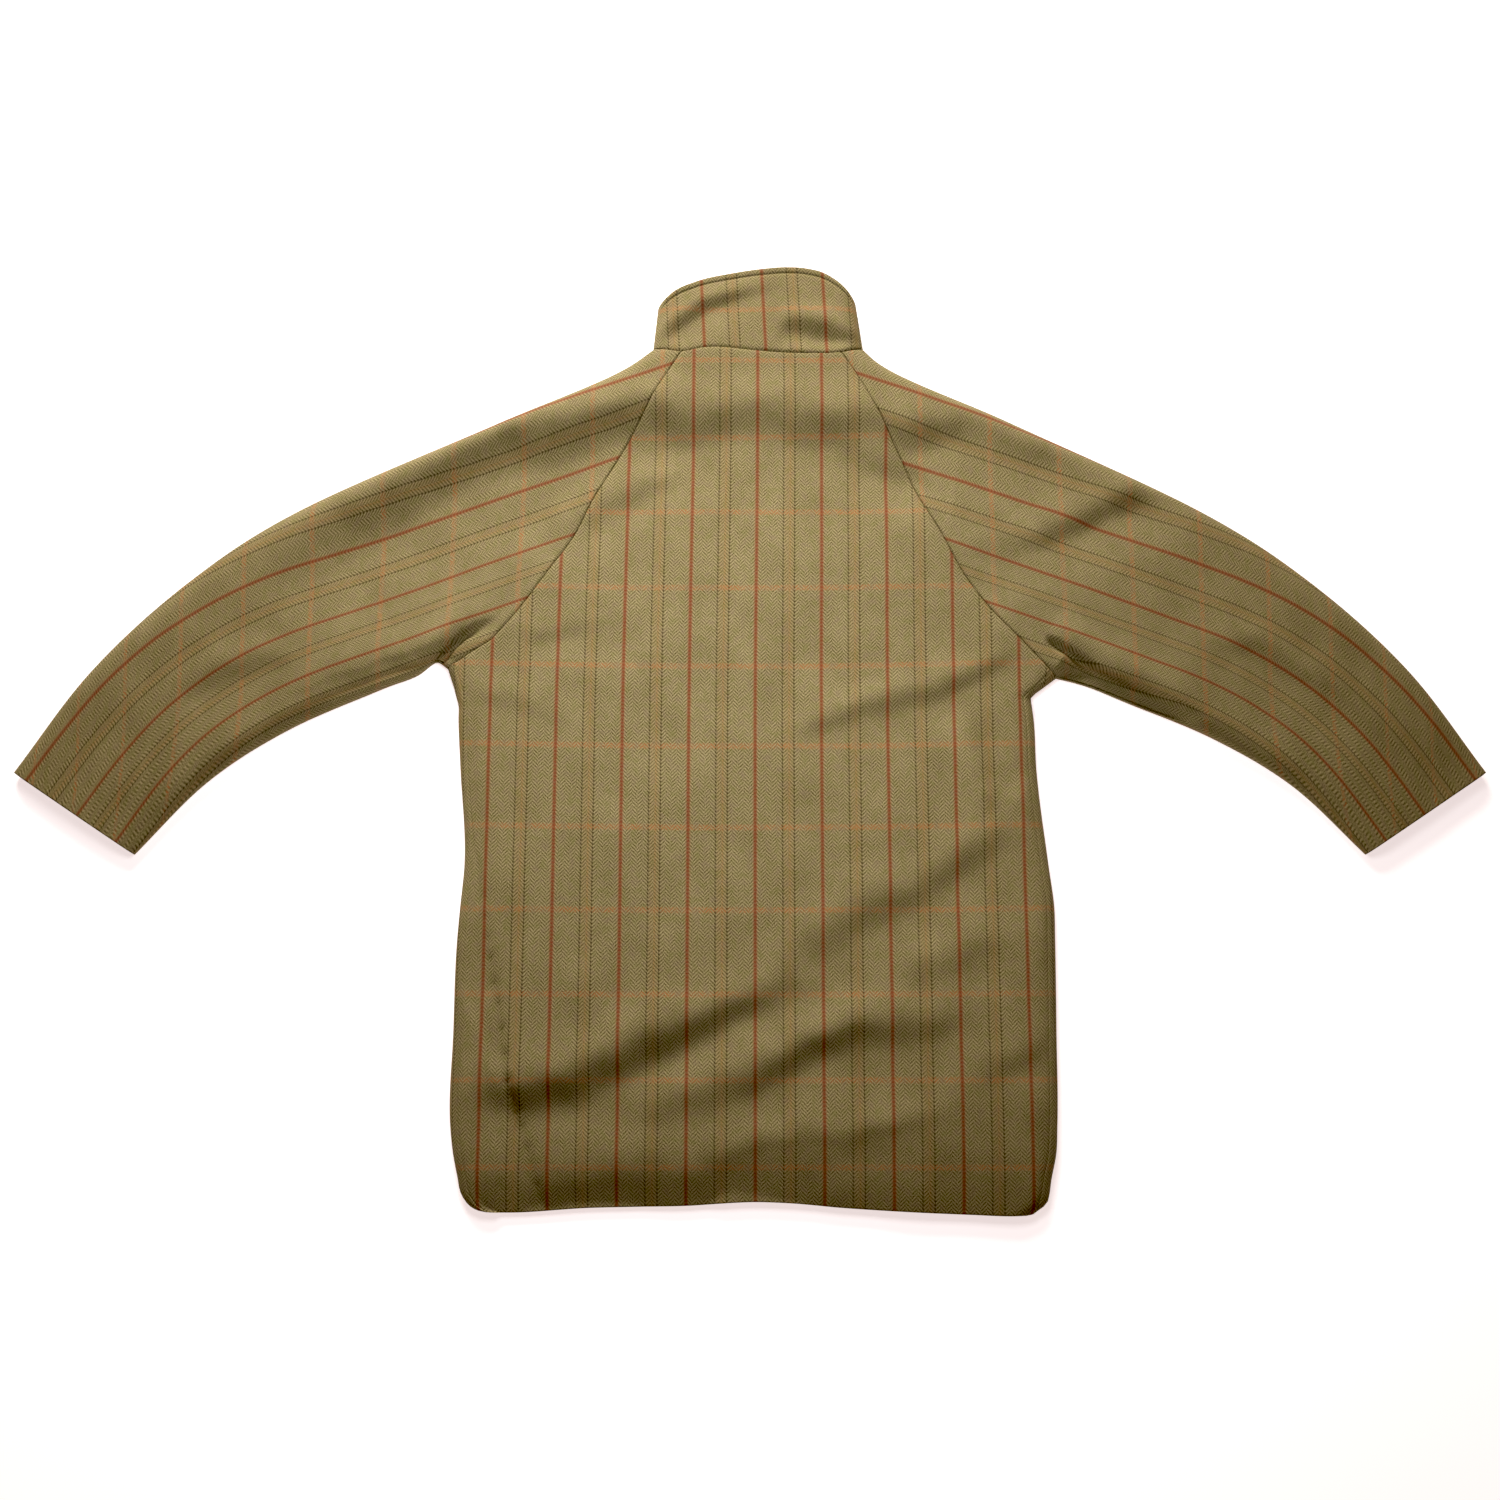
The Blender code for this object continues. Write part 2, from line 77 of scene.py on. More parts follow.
BODY = table(
    "y         left     right    top",
    (-0.4255,  0.2380,  0.2490,  0.0110),
    (-0.4248,  0.2430,  0.2535,  0.0112),
    (-0.4221,  0.2508,  0.2586,  0.0118),
    (-0.4188,  0.2553,  0.2642,  0.0125),
    (-0.4160,  0.2578,  0.2680,  0.0131),
    (-0.4110,  0.2610,  0.2700,  0.0140),
    (-0.3950,  0.2652,  0.2732,  0.0163),
    (-0.3730,  0.2700,  0.2783,  0.0179),
    (-0.3500,  0.2730,  0.2800,  BODY_TOP),
    (-0.2650,  0.2730,  0.2820,  BODY_TOP),
    (-0.1770,  0.2720,  0.2836,  BODY_TOP),
    (-0.1520,  0.2704,  0.2838,  BODY_TOP),
    (-0.1100,  0.2675,  0.2795,  BODY_TOP),
    (-0.0180,  0.2742,  0.2710,  BODY_TOP),
    (0.0280,   0.2775,  0.2700,  BODY_TOP),
    (0.0425,   0.2780,  0.2685,  BODY_TOP),
    (0.0490,   0.2800,  0.2680,  BODY_TOP),
    (0.0580,   0.2824,  0.2790,  BODY_TOP),
)
HEM = table(
    "x        dip",
    (-0.262,  0.0010),
    (-0.240,  0.0000),
    (-0.221, -0.0005),
    (-0.145,  0.0036),
    (-0.100,  0.0046),
    (-0.054,  0.0056),
    (-0.018,  0.0080),
    (0.000,   0.0088),
    (0.036,   0.0078),
    (0.083,   0.0038),
    (0.148,   0.0000),
    (0.200,  -0.0022),
    (0.235,  -0.0034),
    (0.250,  -0.0032),
    (0.270,  -0.0028),
)
RAGLAN = table(
    "y       left    right",
    (0.104,  0.2470, 0.2590),
    (0.127,  0.2270, 0.2370),
    (0.166,  0.1990, 0.2080),
    (0.213,  0.1680, 0.1835),
    (0.243,  0.1540, 0.1670),
    (0.279,  0.1340, 0.1510),
    (0.317,  0.1130, 0.1335),
    (0.374,  0.0810, 0.1035),
    (0.396,  0.0680, 0.0900),
)
NECK = table(
    "x        rise",
    (-0.096,  0.0060),
    (-0.068,  0.0000),
    (-0.044,  0.0045),
    (0.007,   0.0014),
    (0.044,  -0.0006),
    (0.090,   0.0000),
    (0.112,   0.0060),
)
NECK_EASE = ((0.344, 0.374, 0.396), (0.0, 0.5, 1.0))   # rows that follow the neck's rise, and how much
HEM_EASE = ((-0.4255, -0.3500), (1.0, 0.0))            # the same for the hem's dip
UNDERARM = {"left": (0.2890, 0.0770), "right": (0.2925, 0.0680)}



def even_crease(reach, *rows):
    """Crease from rows of x, y and height, with ridge and trough alike and the same reach all along."""
    line = table("x y rise", *rows)
    line["drop"] = line["rise"]
    line["up"] = line["down"] = np.full(len(rows), reach)
    return line


# Creases of the coat as it was laid, which run on from panel to panel.  Each is a line with a ridge on
# the left of its run and a trough on the right, so one that runs towards +X has its ridge on the collar's
# side.  Up and down are the distances to them, rise and drop their heights.  Hold is the share of the
# drop that stays beyond the trough, and tail says how slowly the rest of it rises again.
CREASES = (
    table(
        "x        y        up      down    rise     drop     tail",
        (-0.262,  -0.312,  0.019,  0.019,  0.0000,  0.0000,  2.4),
        (-0.236,  -0.319,  0.019,  0.019,  0.0031,  0.0036,  2.4),
        (-0.209,  -0.322,  0.020,  0.022,  0.0052,  0.0060,  2.4),
        (-0.163,  -0.319,  0.020,  0.022,  0.0057,  0.0065,  2.4),
        (-0.127,  -0.298,  0.019,  0.019,  0.0060,  0.0065,  2.2),
        (-0.082,  -0.274,  0.019,  0.019,  0.0057,  0.0059,  1.6),
        (-0.037,  -0.256,  0.018,  0.018,  0.0049,  0.0049,  1.5),
        (0.009,   -0.241,  0.016,  0.016,  0.0035,  0.0032,  1.5),
        (0.037,   -0.229,  0.015,  0.015,  0.0019,  0.0019,  1.5),
        (0.085,   -0.222,  0.014,  0.014,  0.0000,  0.0000,  1.5),
    ),
    table(
        "x        y        up      down    rise     drop",
        (-0.115,  -0.350,  0.017,  0.019,  0.0000,  0.0000),
        (-0.086,  -0.340,  0.017,  0.019,  0.0018,  0.0021),
        (-0.054,  -0.330,  0.017,  0.019,  0.0030,  0.0033),
        (0.000,   -0.308,  0.017,  0.019,  0.0039,  0.0045),
        (0.055,   -0.281,  0.017,  0.019,  0.0048,  0.0051),
        (0.100,   -0.269,  0.017,  0.019,  0.0042,  0.0042),
        (0.164,   -0.262,  0.016,  0.017,  0.0021,  0.0021),
        (0.205,   -0.250,  0.014,  0.014,  0.0000,  0.0000),
    ),
    even_crease(
        0.018,
        (0.009,  -0.227,  0.0000),
        (0.037,  -0.209,  0.0018),
        (0.074,  -0.182,  0.0025),
        (0.111,  -0.156,  0.0027),
        (0.158,  -0.137,  0.0027),
        (0.195,  -0.115,  0.0027),
        (0.233,  -0.093,  0.0022),
        (0.262,  -0.076,  0.0000),
    ),
    table(
        "x        y        up      down    rise     drop     hold",
        (-0.268,  -0.398,  0.022,  0.034,  0.0000,  0.0000,  1.0),
        (-0.230,  -0.398,  0.022,  0.034,  0.0014,  0.0034,  1.0),
        (-0.180,  -0.398,  0.022,  0.034,  0.0020,  0.0046,  1.0),
        (-0.127,  -0.397,  0.022,  0.034,  0.0020,  0.0046,  1.0),
        (-0.045,  -0.390,  0.019,  0.034,  0.0020,  0.0042,  1.0),
        (0.009,   -0.374,  0.016,  0.036,  0.0026,  0.0036,  1.0),
        (0.054,   -0.366,  0.015,  0.036,  0.0026,  0.0036,  1.0),
        (0.099,   -0.361,  0.013,  0.028,  0.0020,  0.0027,  0.8),
        (0.154,   -0.353,  0.012,  0.016,  0.0012,  0.0007,  0.2),
        (0.205,   -0.332,  0.012,  0.012,  0.0000,  0.0000,  0.0),
    ),
    table(
        "x       y       up      down    rise     drop",
        (0.040,  0.011,  0.012,  0.012,  0.0000,  0.0000),
        (0.061,  0.018,  0.012,  0.012,  0.0016,  0.0016),
        (0.100,  0.030,  0.012,  0.012,  0.0022,  0.0022),
        (0.133,  0.040,  0.012,  0.012,  0.0026,  0.0026),
        (0.180,  0.054,  0.012,  0.012,  0.0026,  0.0026),
        (0.210,  0.067,  0.012,  0.012,  0.0023,  0.0023),
        (0.238,  0.079,  0.010,  0.010,  0.0013,  0.0013),
        (0.254,  0.090,  0.010,  0.010,  0.0000,  0.0000),
    ),
    even_crease(
        0.013,
        (0.240,  -0.056,  0.0000),
        (0.231,  -0.040,  0.0028),
        (0.221,  -0.022,  0.0028),
        (0.216,  0.006,   0.0022),
        (0.212,  0.036,   0.0000),
    ),
    table(
        "x        y       up      down    rise     drop",
        (-0.470,  0.148,  0.018,  0.030,  0.0000,  0.0000),
        (-0.415,  0.202,  0.019,  0.035,  0.0042,  0.0084),
        (-0.364,  0.238,  0.019,  0.038,  0.0058,  0.0120),
        (-0.339,  0.252,  0.019,  0.038,  0.0058,  0.0120),
        (-0.282,  0.283,  0.018,  0.036,  0.0058,  0.0118),
        (-0.234,  0.302,  0.017,  0.035,  0.0060,  0.0120),
        (-0.185,  0.314,  0.017,  0.034,  0.0060,  0.0120),
        (-0.127,  0.331,  0.016,  0.032,  0.0054,  0.0104),
        (-0.090,  0.340,  0.015,  0.028,  0.0030,  0.0056),
        (-0.045,  0.348,  0.012,  0.020,  0.0000,  0.0000),
    ),
    table(
        "x        y       up      down    rise     drop",
        (-0.125,  0.306,  0.018,  0.026,  0.0000,  0.0000),
        (-0.080,  0.322,  0.019,  0.032,  0.0048,  0.0088),
        (-0.030,  0.327,  0.019,  0.032,  0.0048,  0.0090),
        (0.029,   0.327,  0.019,  0.032,  0.0048,  0.0090),
        (0.107,   0.319,  0.019,  0.034,  0.0050,  0.0096),
        (0.146,   0.313,  0.018,  0.030,  0.0052,  0.0088),
        (0.205,   0.314,  0.016,  0.022,  0.0036,  0.0050),
        (0.302,   0.281,  0.015,  0.018,  0.0022,  0.0028),
        (0.339,   0.256,  0.015,  0.017,  0.0016,  0.0018),
        (0.420,   0.205,  0.013,  0.013,  0.0000,  0.0000),
    ),
    table(
        "x       y       up      down    rise     drop",
        (0.190,  0.190,  0.013,  0.013,  0.0000,  0.0000),
        (0.250,  0.192,  0.013,  0.013,  0.0011,  0.0011),
        (0.272,  0.200,  0.013,  0.013,  0.0028,  0.0028),
        (0.299,  0.212,  0.014,  0.014,  0.0034,  0.0034),
        (0.366,  0.240,  0.015,  0.015,  0.0037,  0.0037),
        (0.440,  0.252,  0.015,  0.015,  0.0000,  0.0000),
    ),
    table(
        "x        y       up      down    rise     drop     tail",
        (-0.196,  0.196,  0.013,  0.017,  0.0000,  0.0000,  2.5),
        (-0.160,  0.225,  0.014,  0.018,  0.0026,  0.0036,  2.5),
        (-0.131,  0.243,  0.014,  0.018,  0.0030,  0.0040,  2.5),
        (-0.102,  0.258,  0.013,  0.017,  0.0030,  0.0038,  2.5),
        (-0.080,  0.265,  0.012,  0.015,  0.0018,  0.0020,  2.0),
        (-0.055,  0.270,  0.012,  0.012,  0.0000,  0.0000,  2.0),
    ),
    table(
        "x       y       up      down    rise     drop",
        (0.082,  0.292,  0.012,  0.013,  0.0000,  0.0000),
        (0.110,  0.287,  0.012,  0.014,  0.0018,  0.0022),
        (0.135,  0.280,  0.012,  0.014,  0.0026,  0.0032),
        (0.160,  0.270,  0.012,  0.014,  0.0026,  0.0032),
        (0.190,  0.250,  0.012,  0.012,  0.0000,  0.0000),
    ),
    table(
        "x        y       up      down    rise     drop     hold",
        (-0.450,  0.040,  0.013,  0.020,  0.0000,  0.0000,  1.0),
        (-0.400,  0.066,  0.013,  0.020,  0.0008,  0.0040,  1.0),
        (-0.349,  0.087,  0.012,  0.020,  0.0010,  0.0050,  1.0),
        (-0.318,  0.095,  0.012,  0.019,  0.0010,  0.0050,  1.0),
        (-0.290,  0.101,  0.011,  0.018,  0.0006,  0.0034,  1.0),
        (-0.268,  0.104,  0.011,  0.018,  0.0000,  0.0000,  1.0),
    ),
    even_crease(
        0.010,
        (-0.255,  0.118,  0.0000),
        (-0.200,  0.106,  0.0013),
        (-0.162,  0.111,  0.0011),
        (-0.100,  0.125,  0.0000),
    ),
    even_crease(
        0.011,
        (-0.280,  0.062,  0.0000),
        (-0.237,  0.045,  0.0014),
        (-0.199,  0.031,  0.0012),
        (-0.150,  0.018,  0.0000),
    ),
    even_crease(
        0.013,
        (0.135,  -0.224,  0.0000),
        (0.160,  -0.213,  0.0014),
        (0.198,  -0.198,  0.0014),
        (0.236,  -0.176,  0.0000),
    ),
    even_crease(
        0.013,
        (0.200,  -0.308,  0.0000),
        (0.232,  -0.296,  0.0014),
        (0.258,  -0.284,  0.0014),
        (0.282,  -0.270,  0.0000),
    ),
    table(
        "x        y       up      down    rise     drop",
        (-0.560,  0.030,  0.013,  0.013,  0.0000,  0.0000),
        (-0.515,  0.062,  0.013,  0.013,  0.0020,  0.0020),
        (-0.470,  0.082,  0.013,  0.013,  0.0024,  0.0024),
        (-0.425,  0.082,  0.012,  0.012,  0.0000,  0.0000),
    ),
    even_crease(
        0.013,
        (0.430,  0.105,  0.0000),
        (0.480,  0.094,  0.0022),
        (0.530,  0.066,  0.0022),
        (0.590,  0.010,  0.0000),
    ),
)
# Slow waves of cloth that was smoothed out by hand: turns in each metre, phase and height.  The second
# table shifts the creases sideways in the same way, so that none runs too evenly.
WAVES = table(
    "along_x  along_y  phase  height",
    (5.3,      3.1,     0.7,   0.00040),
    (-3.7,     6.9,     2.1,   0.00045),
    (9.1,     -5.3,     4.0,   0.00022),
    (6.1,      13.7,    1.3,   0.00020),
    (-14.9,    8.3,     5.2,   0.00014),
)
WANDER = table(
    "along_x  along_y  phase  height",
    (9.0,     -7.0,     0.0,   0.0022),
    (19.0,     13.0,    1.9,   0.0010),
)


def smooth(places, values, at):
    """Value at a place on a smooth curve through a table's rows."""
    at = np.asarray(at, dtype=float)
    slopes = np.gradient(values, places)
    row = np.clip(np.searchsorted(places, at) - 1, 0, len(places) - 2)
    step = places[row + 1] - places[row]
    s = np.clip((at - places[row]) / step, 0.0, 1.0)
    return ((1 + 2 * s) * (1 - s) ** 2 * values[row]
            + s * (1 - s) ** 2 * step * slopes[row]
            + s ** 2 * (3 - 2 * s) * values[row + 1]
            - s ** 2 * (1 - s) * step * slopes[row + 1])


def ease(low, high, value):
    """0 below low, 1 above high and a soft step between them."""
    share = np.clip((value - low) / (high - low), 0.0, 1.0)
    return share * share * (3 - 2 * share)


def rounded(inward, reach, edge, far, wall):
    """Outside and inside height of a layer at a distance in from its fold, and the inside's inset."""
    share = np.clip(inward / reach, 0.0, 1.0)
    rise = np.sqrt(1 - (1 - share) ** 2)
    inside_far = far - np.where(far > edge, wall, -wall)
    return edge + (far - edge) * rise, edge + (inside_far - edge) * rise, wall * (1 - share)


def edge_slack(inward, reach, rise):
    """Cloth that a rounded edge takes up beyond what shows from above, from a place on it to the flat."""
    turn = np.linspace(0.0, np.pi / 2, ARC_STEPS)
    width = reach * (1 - np.cos(turn))
    length = np.append(0.0, np.cumsum(np.hypot(np.diff(width), rise * np.diff(np.sin(turn)))))
    return np.interp(reach, width, length - width) - np.interp(inward, width, length - width)


def wave_sum(waves, x, y):
    """Height of a table's waves at a place."""
    return sum(height * np.sin(2 * np.pi * (along_x * x + along_y * y) + phase)
               for along_x, along_y, phase, height in zip(*waves.values()))


def crease_height(lines, x, y):
    """Height that creases add to the upper layer at a place."""
    x, y = np.broadcast_arrays(x, y)
    total = np.zeros(x.shape)
    for line in lines:
        nearest = np.full(x.shape, np.inf)
        height = np.zeros(x.shape)
        for row in range(len(line["x"]) - 1):
            run_x = line["x"][row + 1] - line["x"][row]
            run_y = line["y"][row + 1] - line["y"][row]
            from_x = x - line["x"][row]
            from_y = y - line["y"][row]
            share = np.clip((from_x * run_x + from_y * run_y) / (run_x ** 2 + run_y ** 2), 0.0, 1.0)
            distance = np.hypot(from_x - share * run_x, from_y - share * run_y)
            above = from_y * run_x - from_x * run_y > 0
            here = {name: line[name][row] + share * (line[name][row + 1] - line[name][row])
                    for name in line}
            across = distance / np.where(above, here["up"], here["down"])
            size = np.where(above, here["rise"], -here["drop"])
            shape = across * np.exp(0.5 - 0.5 * across ** 2)
            beyond = np.exp(-0.5 * ((across - 1) / here.get("tail", TROUGH_TAIL)) ** 2)
            beyond += here.get("hold", 0.0) * (1 - beyond)
            shape = np.where(above | (across < 1), shape, beyond)
            height = np.where(distance < nearest, size * shape, height)
            nearest = np.minimum(nearest, distance)
        total += height
    return total


def laid_height(x, y):
    """Height that creases and slow waves add to the coat's upper layer at a place."""
    return crease_height(CREASES, x, y + wave_sum(WANDER, x, y)) + wave_sum(WAVES, x, y)


def seam_dip(distance):
    """How far the outside of the cloth turns down at a distance from a seam."""
    return SEAM_DIP * np.exp(-np.abs(distance) / SEAM_ROLL)


def turned_edge(distance, wall):
    """How far a turned edge's outside and inside draw together at a distance from it."""
    share = np.clip(distance / (wall / 2), 0.0, 1.0)
    return EDGE_CLOSE * wall / 2 * (1 - np.sqrt(1 - (1 - share) ** 2))


def points(x, y, z):
    return np.stack(np.broadcast_arrays(x, y, z), axis=-1)


def shell(name, sheets):
    """One closed wall of cloth from grids of outside points, inside points and places on the cloth.

    Grids that meet share their points.  The places, in metres across and along the warp, go into a
    UV map, each grid with its own.
    """
    index = {}
    outside, inside, faces, face_sheet = [], [], [], []
    for number, (outer, inner, _) in enumerate(sheets):
        keys = [tuple(key) for key in np.round(outer.reshape(-1, 3), 6)]
        ids = np.empty(len(keys), dtype=int)
        for place, key in enumerate(keys):
            if key not in index:
                index[key] = len(outside)
                outside.append(outer.reshape(-1, 3)[place])
                inside.append(inner.reshape(-1, 3)[place])
            ids[place] = index[key]
        ids = ids.reshape(outer.shape[:2])
        quads = np.stack((ids[:-1, :-1], ids[:-1, 1:], ids[1:, 1:], ids[1:, :-1]), axis=-1).reshape(-1, 4)
        faces += quads.tolist()
        face_sheet += [number] * len(quads)
    count = len(outside)
    uv = np.zeros((len(sheets), 2 * count, 2))
    for number, (outer, _, cloth) in enumerate(sheets):
        ids = [index[tuple(key)] for key in np.round(outer.reshape(-1, 3), 6)]
        uv[number, ids] = cloth.reshape(-1, 2)
        uv[number, count:] = uv[number, :count]
    edges = {}
    for face, sheet in zip(faces, face_sheet):
        for k in range(4):
            edges[face[k], face[(k + 1) % 4]] = sheet
    open_edges = [(a, b, sheet) for (a, b), sheet in edges.items() if (b, a) not in edges]
    rim = [(b, a, a + count, b + count) for a, b, _ in open_edges]
    inner_faces = [[corner + count for corner in reversed(face)] for face in faces]
    sheet_of = np.array(face_sheet + face_sheet + [sheet for _, _, sheet in open_edges])

    mesh = bpy.data.meshes.new(name)
    mesh.from_pydata(np.array(outside + inside).tolist(), [], faces + inner_faces + rim)
    wall = bmesh.new()
    wall.from_mesh(mesh)
    bmesh.ops.recalc_face_normals(wall, faces=wall.faces)
    wall.to_mesh(mesh)
    wall.free()
    corners = np.empty(len(mesh.loops), dtype=int)
    mesh.loops.foreach_get("vertex_index", corners)
    sizes = np.empty(len(mesh.polygons), dtype=int)
    mesh.polygons.foreach_get("loop_total", sizes)
    layer = mesh.uv_layers.new(name=CLOTH_MAP)
    layer.uv.foreach_set("vector", uv[np.repeat(sheet_of, sizes), corners].astype(np.float32).ravel())
    mesh.shade_smooth()
    mesh.set_sharp_from_angle(angle=SHARP_ANGLE)
    piece = bpy.data.objects.new(name, mesh)
    bpy.context.collection.objects.link(piece)
    return piece


# Tweed: a herringbone of heathered olive and tan wool, with red, ochre and dark warp stripes and thin
# rust lines in the weft.  Sizes are metres of cloth.
CLOTH_MAP = "cloth"
STRIPE_REPEAT = 0.0627
RIB = STRIPE_REPEAT / 12
TWILL = 0.0035
WEFT_REPEAT = 0.0772
OLIVE_DARK = (0.034, 0.026, 0.004, 1.0)
OLIVE_LIGHT = (0.400, 0.320, 0.172, 1.0)
MOSS = (0.150, 0.140, 0.046, 1.0)
HEATHER = (0.190, 0.135, 0.090, 1.0)
RED = (0.165, 0.034, 0.018, 1.0)
ORANGE = (0.340, 0.150, 0.080, 1.0)
OCHRE = (0.290, 0.140, 0.046, 1.0)
DARK = (0.045, 0.030, 0.014, 1.0)
RUST = (0.340, 0.115, 0.050, 1.0)
# Place, repeat, half width and soft side of each kind of stripe.
RUST_LINE = (0.0, WEFT_REPEAT, 0.0026, 0.0012)
OCHRE_BAND = (0.505 * STRIPE_REPEAT, STRIPE_REPEAT, 0.0044, 0.0012)
OCHRE_LINE = (0.520 * STRIPE_REPEAT, STRIPE_REPEAT, 0.0008, 0.0005)
DOTS_BEFORE = (0.415 * STRIPE_REPEAT, STRIPE_REPEAT, 0.0007, 0.0004)
DOTS_AFTER = (0.590 * STRIPE_REPEAT, STRIPE_REPEAT, 0.0007, 0.0004)
RED_FLANKS = (0.0004, STRIPE_REPEAT, 0.0026, 0.0010)
RED_LINE = (0.0004, STRIPE_REPEAT, 0.0015, 0.0008)
RAGGED = 0.0005            # how far the wool's flecks push the sides of the red stripes


class Shade:
    """A socket of a material's nodes.  Arithmetic on it adds Math nodes."""

    def __init__(self, tree, socket=None):
        self.tree = tree
        self.socket = socket

    def node(self, kind, settings, values, output=0):
        """One more node, set up and fed, as the socket of its output."""
        made = self.tree.nodes.new(kind)
        for name, setting in settings.items():
            setattr(made, name, setting)
        for name, value in values.items():
            if isinstance(value, Shade):
                self.tree.links.new(value.socket, made.inputs[name])
            else:
                made.inputs[name].default_value = value
        return Shade(self.tree, made.outputs[output])

    def math(self, operation, *values):
        return self.node("ShaderNodeMath", {"operation": operation}, dict(enumerate(values)))

    def __add__(self, other):
        return self.math("ADD", self, other)

    def __radd__(self, other):
        return self.math("ADD", other, self)

    def __sub__(self, other):
        return self.math("SUBTRACT", self, other)

    def __rsub__(self, other):
        return self.math("SUBTRACT", other, self)

    def __mul__(self, other):
        return self.math("MULTIPLY", self, other)


def spread(value, start, end, first, last, how="LINEAR"):
    """A value's run from start to end, spread out from first to last."""
    return value.node("ShaderNodeMapRange", {"interpolation_type": how},
                      {"Value": value, "From Min": start, "From Max": end, "To Min": first, "To Max": last})


def line_mask(across, place, repeat, half, soft):
    """1 on a stripe that repeats across the cloth, 0 beside it, with soft sides."""
    distance = (across - place).math("PINGPONG", across - place, repeat / 2)
    return spread(distance, half - soft, half + soft, 1.0, 0.0, "SMOOTHSTEP")


def blend(share, first, second):
    """A colour between two, through a Mix node."""
    return share.node("ShaderNodeMix", {"data_type": "RGBA"}, {0: share, 6: first, 7: second}, 2)


def wool_noise(place, scale, detail):
    return place.node("ShaderNodeTexNoise", {"noise_dimensions": "2D"},
                      {"Vector": place, "Scale": scale, "Detail": detail, "Roughness": 0.6}, "Fac")


def tweed(name):
    """Material of the coat's cloth, on the cloth map."""
    material = bpy.data.materials.new(name)
    material.use_nodes = True
    tree = material.node_tree
    shader = tree.nodes["Principled BSDF"]
    place = Shade(tree).node("ShaderNodeUVMap", {"uv_map": CLOTH_MAP}, {})
    across = place.node("ShaderNodeSeparateXYZ", {}, {"Vector": place}, "X")
    along = place.node("ShaderNodeSeparateXYZ", {}, {"Vector": place}, "Y")

    # Ribs lean one way and the other in turn, and each starts half a twill out of step.
    rib = across * (1 / RIB)
    lean = rib.math("PINGPONG", rib, 1.0)
    odd = rib.math("FLOOR", rib).math("MODULO", rib.math("FLOOR", rib), 2.0)
    turns = along * (1 / TWILL) + lean * (RIB / TWILL) + odd * 0.5
    twill = turns.math("SINE", turns * (2 * np.pi)) * 0.5 + 0.5
    picks = along.math("SINE", along * (2 * np.pi / TWILL)) * 0.5 + 0.5

    flecks = (wool_noise(place, 900.0, 2.0) - 0.5) * 2.4
    patches = wool_noise(place, 120.0, 3.0)
    clouds = wool_noise(place, 28.0, 2.0)

    tone = twill * 0.50 + flecks * 0.42 + clouds * 0.20 + 0.11
    colour = blend(tone, OLIVE_DARK, OLIVE_LIGHT)
    colour = blend(spread(patches, 0.50, 0.72, 0.0, 0.42), colour, MOSS)
    colour = blend(spread(patches, 0.46, 0.28, 0.0, 0.40), colour, HEATHER)

    dashes = (1.0 - twill).math("POWER", 1.0 - twill, 3.0)
    worn = spread(patches, 0.36, 0.60, 0.35, 1.35)
    rust = line_mask(along, *RUST_LINE) * (dashes * 0.62 + 0.06) * worn
    colour = blend(rust, colour, RUST)
    ochre = line_mask(across, *OCHRE_BAND) * 0.12 + line_mask(across, *OCHRE_LINE) * 0.20
    colour = blend(ochre * (0.3 + twill * 1.2), colour, OCHRE)
    dots = line_mask(across, *DOTS_BEFORE) + line_mask(across, *DOTS_AFTER)
    colour = blend(dots * (0.08 + picks * 0.84), colour, DARK)
    ragged = across + flecks * RAGGED
    colour = blend(line_mask(ragged, *RED_FLANKS) * (0.08 + twill * 0.24), colour, ORANGE)
    colour = blend(line_mask(ragged, *RED_LINE) * (0.34 + twill * 0.34 + picks * 0.30), colour, RED)

    relief = twill * 0.5 + flecks * 0.4
    bump = relief.node("ShaderNodeBump", {}, {"Height": relief, "Strength": 0.45, "Distance": 0.0004})
    rough = flecks * 0.05 + 0.88
    tree.links.new(colour.socket, shader.inputs["Base Color"])
    tree.links.new(rough.socket, shader.inputs["Roughness"])
    tree.links.new(bump.socket, shader.inputs["Normal"])
    shader.inputs["Specular IOR Level"].default_value = 0.08
    shader.inputs["Sheen Weight"].default_value = 0.10
    shader.inputs["Sheen Roughness"].default_value = 0.6
    shader.inputs["Sheen Tint"].default_value = (0.70, 0.58, 0.30, 1.0)
    return material


coat_tweed = tweed("herringbone_tweed")

# Columns and rows of the back: fine at its seams and its hem, even between them.
SEAM_STEPS = np.array((0.0, 0.0004, 0.0010, 0.0018, 0.0029, 0.0044, 0.0065, 0.0093, 0.0135))
EDGE_STEPS = np.array((0.0, 0.00012, 0.0004, 0.0008, 0.00125, 0.0025, 0.0045, 0.0075))
BACK_COLUMNS = 128
SIDE_ROWS = 104
PIT_ROWS = 5
LOW_RAGLAN_ROWS = 22
RAGLAN_ROWS = 76
WARP_AT_HEM = 0.0044       # the middle red stripe's place at the hem and at the neck
WARP_AT_NECK = 0.0072
WARP_SHIFT_Y = (0.0, 0.36)        # it moves from the one to the other between these heights
WEFT_START = 0.0003
WEFT_BOW = 0.060           # rise of the weft lines towards the sides, for each metre squared, at the neck
WEFT_BOW_Y = (-0.42, 0.12)        # the bow grows from none to whole between these heights


def edge_out(side, y):
    return smooth(BODY["y"], BODY[side], y)


def raglan_out(side, y):
    return smooth(RAGLAN["y"], RAGLAN[side], y)


